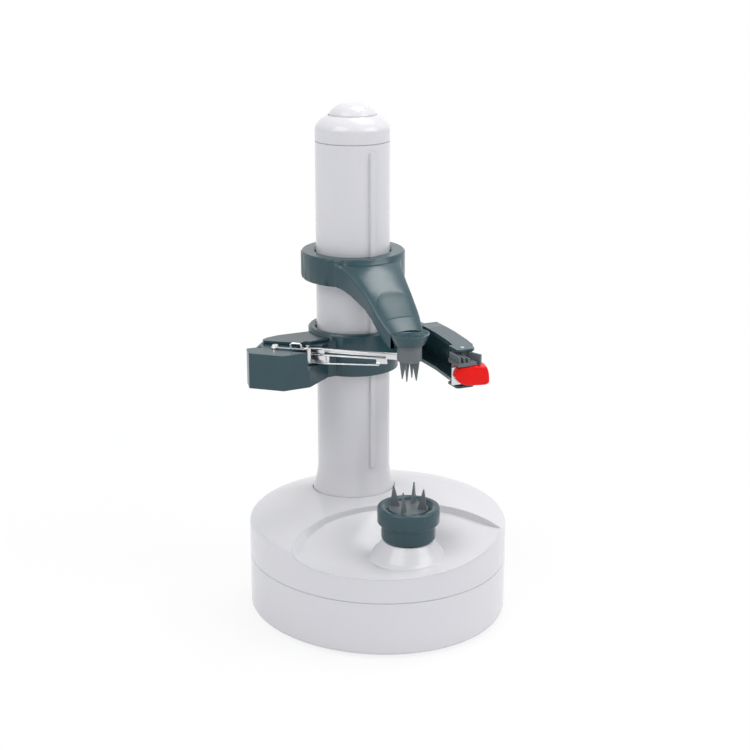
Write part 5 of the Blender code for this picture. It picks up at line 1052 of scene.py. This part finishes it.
def make_strip(sizes):
    """Two folded leaves on the pin: a plain upper one and a lower one with bright rims."""
    low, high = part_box("steel_strip")
    root, top = low[2], high[2]
    pin = middle(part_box("strip_pin"))
    half, reach, fall, steep = sizes.strip_half, sizes.strip_reach, sizes.leaf_fall, sizes.rim_fall
    rim, back = half - sizes.strip_gauge, sizes.strip_step - half
    # Each bar: its two ends along the strip, its two sides, height and slope of its lower and upper face
    bars = (
        (-0.0024, reach, -half, half, (top - 0.0006, 0.0), (top, 0.0)),
        (0.0020, reach, rim, half, (top - 0.0026, 0.0), (top - 0.0003, 0.0)),
        (reach - 0.0062, reach, back, half, (top - 0.0030, 0.0), (top - 0.0001, 0.0)),
        (0.0020, 0.0100, back, half, (top - 0.0027, 0.0), (top - 0.0001, 0.0)),
        (-0.0022, 0.0440, -half, half, (root + 0.0050, fall), (root + 0.0057, fall)),
        (0.0016, 0.0120, rim, half, (root + 0.0004, steep), (root + 0.0052, fall)),
        (0.0380, 0.0440, rim, half, (root + 0.0004, steep), (root + 0.0052, fall)),
        (-0.0020, 0.0400, -half, half, (root, steep), (root + 0.0007, steep)),
        (0.0018, 0.0105, back, half, (root + 0.0026, 0.0), (root + 0.0053, 0.0)),
    )
    cosine, sine = math.cos(-sizes.strip_turn), math.sin(-sizes.strip_turn)
    bm = bmesh.new()
    for x0, x1, y0, y1, under, over in bars:
        rings = []
        for x in (x0, (x0 + x1) / 2, x1):
            ring = []
            for y, (height, slope) in ((y0, under), (y1, under), (y1, over), (y0, over)):
                across, along = x * cosine - y * sine, x * sine + y * cosine
                ring.append(bm.verts.new((pin[0] + across, pin[1] + along, height + slope * x)))
            rings.append(ring)
        for lower, upper in zip(rings, rings[1:]):
            for index in range(4):
                after = (index + 1) % 4
                bm.faces.new((lower[index], lower[after], upper[after], upper[index]))
        bm.faces.new(rings[0])
        bm.faces.new(rings[-1])
    strip = rounded(linked("steel_strip_fine", bm), sizes.strip_round, 2)
    bore, radius, edge = sizes.strip_bore, sizes.strip_barrel, sizes.barrel_edge
    profile = [(bore, top), (radius - edge, top), (radius, top - edge), (radius, root + edge)]
    barrel = turned("barrel", profile + [(radius - edge, root), (bore, root)], pin, 40)
    bm = bmesh.new()
    bm.from_mesh(strip.data)
    bm.from_mesh(barrel.data)
    bm.to_mesh(strip.data)
    bm.free()
    bpy.data.objects.remove(barrel)
    return strip


def make_carriage(sizes):
    """The carriage with a window in front of the strip's pin."""
    carriage = remade("carriage_fine", "carriage", (TOWER,))
    low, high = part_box("steel_strip")
    start = (-sizes.window_rear, -sizes.window_open, low[2] - CLEAR)
    window = block("window", start, (sizes.window_front, sizes.window_deep, high[2] + sizes.window_head))
    pin = Matrix.Translation((*middle(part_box("strip_pin")), 0.0))
    window.data.transform(pin @ Matrix.Rotation(-sizes.strip_turn, 4, "Z"))
    return combined(carriage, window)


LEAF_OUTLINE = (
    (-0.0528, 0.0176), (-0.0400, 0.0080), (-0.0378, 0.0072),
    (-0.0374, 0.0083), (-0.0392, 0.0094), (-0.0520, 0.0190),
)


def make_leaf(sizes):
    """The light spring leaf on the outrigger's deck between post and hook."""
    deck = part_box("outrigger_lid")[0][2]
    faces = [[(x, y, deck + rise) for x, y in LEAF_OUTLINE] for rise in (sizes.leaf_gap, sizes.leaf_gauge)]
    return rounded(loft("spring_leaf", faces), sizes.leaf_edge, 2)


# Blade cap


# Shares of the cap's width and height
CAP_OUTLINE = (
    (0.0, 0.54), (0.035, 0.78), (0.11, 0.93), (0.22, 1.0), (0.885, 1.0), (0.94, 0.86),
    (0.98, 0.62), (1.0, 0.29), (0.985, 0.02), (0.62, 0.0), (0.22, 0.06), (0.096, 0.28),
)


def make_blade_cap(sizes):
    """The red cap with rounded corners and a slit for the blade."""
    low, high = (Vector(corner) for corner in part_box("blade_cap"))
    size = high - low
    outline = softened_line([*CAP_OUTLINE, CAP_OUTLINE[0]], 1)[:-1]
    faces = []
    for y in (low.y, high.y):
        faces.append([(low.x + size.x * across, y, low.z + size.z * up) for across, up in outline])
    cap = rounded(loft("blade_cap_fine", faces), sizes.cap_corner, 4, 60.0)
    blade = [Vector(corner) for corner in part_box("peeling_blade")]
    room = Vector((CLEAR, CLEAR, CLEAR))
    combined(cap, block("slit", blade[0] - room, blade[1] + room))
    centre = Matrix.Translation((low + high) / 2)
    cap.data.transform(centre @ Matrix.Rotation(-sizes.cap_turn, 4, "Z") @ centre.inverted())
    return cap


# Operators


class PEELER_OT_base(bpy.types.Operator):
    """Finishes the base shells, feet and screws"""

    bl_idname = "peeler.base"
    bl_label = "Base"

    def execute(self, context):
        sizes = context.scene.peeler_sizes
        fitted(make_cover(sizes), "base", "white_shell", "base_cover", angle=30.0)
        tray = remade("base_tray_fine", "base_tray", (base_waist(), 3, base_stretch()))
        fitted(tray, "base", "white_shell", "base_tray")
        dress("battery_door")
        dress(*(f"foot_{index}" for index in range(1, 5)))
        dress(*(f"base_screw_{index}" for index in range(1, 5)))
        return {"FINISHED"}


class PEELER_OT_drive(bpy.types.Operator):
    """Finishes the cells, motor, gears and lead screw"""

    bl_idname = "peeler.drive"
    bl_label = "Drive"

    def execute(self, context):
        dress(*(f"battery_cell_{index}" for index in range(1, 5)))
        dress("motor", "motor_shaft", "motor_pinion", "compound_gear", "compound_axle")
        dress("idler_gear", "idler_axle", "spindle_gear", "spindle_shaft", "screw_gear", "gear_plate")
        dress("top_bearing", "power_switch")
        screw = make_lead_screw(context.scene.peeler_sizes)
        fitted(screw, "lead_screw", "steel", "lead_screw", angle=60.0)
        return {"FINISHED"}


class PEELER_OT_cup(bpy.types.Operator):
    """Finishes the food cup and its spikes"""

    bl_idname = "peeler.cup"
    bl_label = "Food cup"

    def execute(self, context):
        fitted(make_cup(context.scene.peeler_sizes), "spindle", "teal_grey", "food_cup", angle=30.0)
        dress("food_spikes")
        return {"FINISHED"}


class PEELER_OT_tower(bpy.types.Operator):
    """Finishes the tower, its cap and the power button"""

    bl_idname = "peeler.tower"
    bl_label = "Tower"

    def execute(self, context):
        sizes = context.scene.peeler_sizes
        fitted(make_tube(sizes), "base", "white_shell", "tower_tube")
        fitted(make_cap(sizes), "base", "white_shell", "tower_cap", angle=30.0)
        fitted(make_button(sizes), "power_button", "white_shell", "power_button", angle=30.0)
        return {"FINISHED"}


class PEELER_OT_holder(bpy.types.Operator):
    """Finishes the holder arm, its release and the top spike"""

    bl_idname = "peeler.holder"
    bl_label = "Food holder"

    def execute(self, context):
        sizes = context.scene.peeler_sizes
        rings = ((TOWER, 3, (1.0, 1.0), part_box("holder_release")), (SPINDLE,))
        fitted(remade("holder_collar_fine", "holder_arm", *rings), "holder", "teal_grey", "holder_arm")
        fitted(make_arm_channel(sizes), "holder", "teal_grey", "holder_arm", angle=38.0)
        fitted(make_thumb_pad(sizes), "holder", "teal_grey", angle=50.0)
        fitted(remade("top_spike_fine", "top_spike", rings[1]), "top_spike", "grey_plastic", "top_spike")
        dress("holder_release", "top_spike_pin")
        return {"FINISHED"}


class PEELER_OT_carriage(bpy.types.Operator):
    """Finishes the carriage, outrigger, catch and steel strip"""

    bl_idname = "peeler.carriage"
    bl_label = "Carriage"

    def execute(self, context):
        sizes = context.scene.peeler_sizes
        fitted(make_carriage(sizes), "carriage", "teal_grey", "carriage")
        fitted(make_strip(sizes), "steel_strip", "steel", "steel_strip")
        fitted(make_leaf(sizes), "carriage", "dark_steel")
        dress("carriage_catch", "collar_screw", "outrigger_lid", "outrigger_post")
        dress("wire_hook", "strip_pin")
        return {"FINISHED"}


class PEELER_OT_blade_arm(bpy.types.Operator):
    """Finishes the blade arm, its pins, the carrier, the blade and its cap"""

    bl_idname = "peeler.blade_arm"
    bl_label = "Blade arm"

    def execute(self, context):
        fitted(remade("blade_arm_fine", "blade_arm"), "blade_arm", "teal_grey", "blade_arm")
        fitted(make_blade_cap(context.scene.peeler_sizes), "blade_head", "red_plastic", "blade_cap")
        dress("blade_arm_pin", "carrier_pin", "blade_carrier", "peeling_blade")
        return {"FINISHED"}


class PEELER_OT_stage(bpy.types.Operator):
    """Lays the floor, hangs the lamps and places the camera"""

    bl_idname = "peeler.stage"
    bl_label = "Stage"

    def execute(self, context):
        settings = context.scene.peeler_stage
        lay_floor(settings)
        light_world(context.scene, settings)
        hang_lamp("key_lamp", settings.key_place, settings.aim, settings.key_size, settings.key_power)
        hang_lamp("fill_lamp", settings.fill_place, settings.aim, settings.fill_size, settings.fill_power)
        hang_lamp("top_lamp", settings.top_place, settings.aim, settings.top_size, settings.top_power)
        place_camera(context.scene, settings)
        return {"FINISHED"}


def lay_floor(settings):
    """A wide pale floor that keeps the peeler's shadow."""
    bm = bmesh.new()
    bmesh.ops.create_grid(bm, x_segments=1, y_segments=1, size=6.0)
    mesh = bpy.data.meshes.new("floor")
    bm.to_mesh(mesh)
    bm.free()
    floor = bpy.data.objects.new("floor", mesh)
    bpy.context.scene.collection.objects.link(floor)
    finish = Finish("pale_floor", tuple(settings.floor), 0.6)
    fleck = finish.noise(0.05, 3.0)
    base = finish.blended(fleck, settings.floor, lighter(settings.floor, 0.99))
    finish.finished(base, 0.55 + fleck * 0.1)
    glow = finish.node("ShaderNodeEmission", {}, {"Color": (1.0, 1.0, 1.0, 1.0), "Strength": 1.0})
    spread = finish.node("ShaderNodeVectorMath", {"operation": "LENGTH"}, {0: finish.place()}, "Value")
    away = ((spread - settings.white_start) * settings.white_gain).math("MAXIMUM", 0.0).math("MINIMUM", 1.0)
    white = finish.seen() * (away * (1.0 - settings.floor_white) + settings.floor_white)
    shares = {0: white, 1: Signal(finish, finish.shader.outputs[0]), 2: glow}
    finish.ends("Material Output", finish.node("ShaderNodeMixShader", {}, shares))
    mesh.materials.append(finish.material)


def light_world(scene, settings):
    """White to the eye and to reflections, a soft even light to the surfaces."""
    world = bpy.data.worlds.new("studio")
    world.use_nodes = True
    scene.world = world
    nodes = Nodes(world.node_tree)
    backdrop = nodes.node("ShaderNodeBackground", {}, {"Color": (1.0, 1.0, 1.0, 1.0)})
    ambient = world.node_tree.nodes["Background"]
    ambient.inputs["Color"].default_value = (0.93, 0.95, 1.0, 1.0)
    ambient.inputs["Strength"].default_value = settings.sky
    shares = {0: nodes.seen(), 1: Signal(nodes, ambient.outputs[0]), 2: backdrop}
    nodes.ends("World Output", nodes.node("ShaderNodeMixShader", {}, shares))


def hang_lamp(name, place, aim, size, power):
    """A square soft lamp at a place, aimed at a point."""
    lamp = bpy.data.lights.new(name, "AREA")
    lamp.shape = "RECTANGLE"
    lamp.size = size
    lamp.size_y = size
    lamp.energy = power
    obj = bpy.data.objects.new(name, lamp)
    obj.location = place
    obj.rotation_euler = (Vector(aim) - Vector(place)).to_track_quat("-Z", "Y").to_euler()
    bpy.context.scene.collection.objects.link(obj)


def place_camera(scene, settings):
    """The camera at the photograph's place."""
    data = bpy.data.cameras.new("camera")
    data.lens = settings.lens
    data.sensor_width = 36.0
    data.clip_start = 0.01
    camera = bpy.data.objects.new("camera", data)
    camera.location = settings.eye
    camera.rotation_euler = Vector(settings.gaze).to_track_quat("-Z", "Y").to_euler()
    scene.collection.objects.link(camera)
    scene.camera = camera


OPERATORS = (
    PEELER_OT_stage,
    PEELER_OT_base,
    PEELER_OT_drive,
    PEELER_OT_cup,
    PEELER_OT_tower,
    PEELER_OT_holder,
    PEELER_OT_carriage,
    PEELER_OT_blade_arm,
)


class PEELER_PT_sidebar(bpy.types.Panel):
    """The peeler's colours, stage and pieces"""

    bl_idname = "PEELER_PT_sidebar"
    bl_label = "Electric peeler"
    bl_space_type = "VIEW_3D"
    bl_region_type = "UI"
    bl_category = "Peeler"

    def draw(self, context):
        scene = context.scene
        for settings in (scene.peeler_sizes, scene.peeler_colours, scene.peeler_stage):
            column = self.layout.column()
            for name in settings.__annotations__:
                column.prop(settings, name)
        for operator in OPERATORS:
            self.layout.operator(operator.bl_idname)


CLASSES = (PeelerSizes, PeelerColours, StageSettings, *OPERATORS, PEELER_PT_sidebar)


def register():
    for cls in CLASSES:
        bpy.utils.register_class(cls)
    bpy.types.Scene.peeler_sizes = PointerProperty(type=PeelerSizes)
    bpy.types.Scene.peeler_colours = PointerProperty(type=PeelerColours)
    bpy.types.Scene.peeler_stage = PointerProperty(type=StageSettings)


def unregister():
    del bpy.types.Scene.peeler_stage
    del bpy.types.Scene.peeler_colours
    del bpy.types.Scene.peeler_sizes
    for cls in reversed(CLASSES):
        bpy.utils.unregister_class(cls)


def main():
    """Registers the add-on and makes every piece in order."""
    register()
    bpy.context.scene.view_settings.view_transform = "Standard"
    bpy.ops.peeler.stage()
    bpy.ops.peeler.base()
    bpy.ops.peeler.drive()
    bpy.ops.peeler.cup()
    bpy.ops.peeler.tower()
    bpy.ops.peeler.holder()
    bpy.ops.peeler.carriage()
    bpy.ops.peeler.blade_arm()


if __name__ == "__main__":
    main()
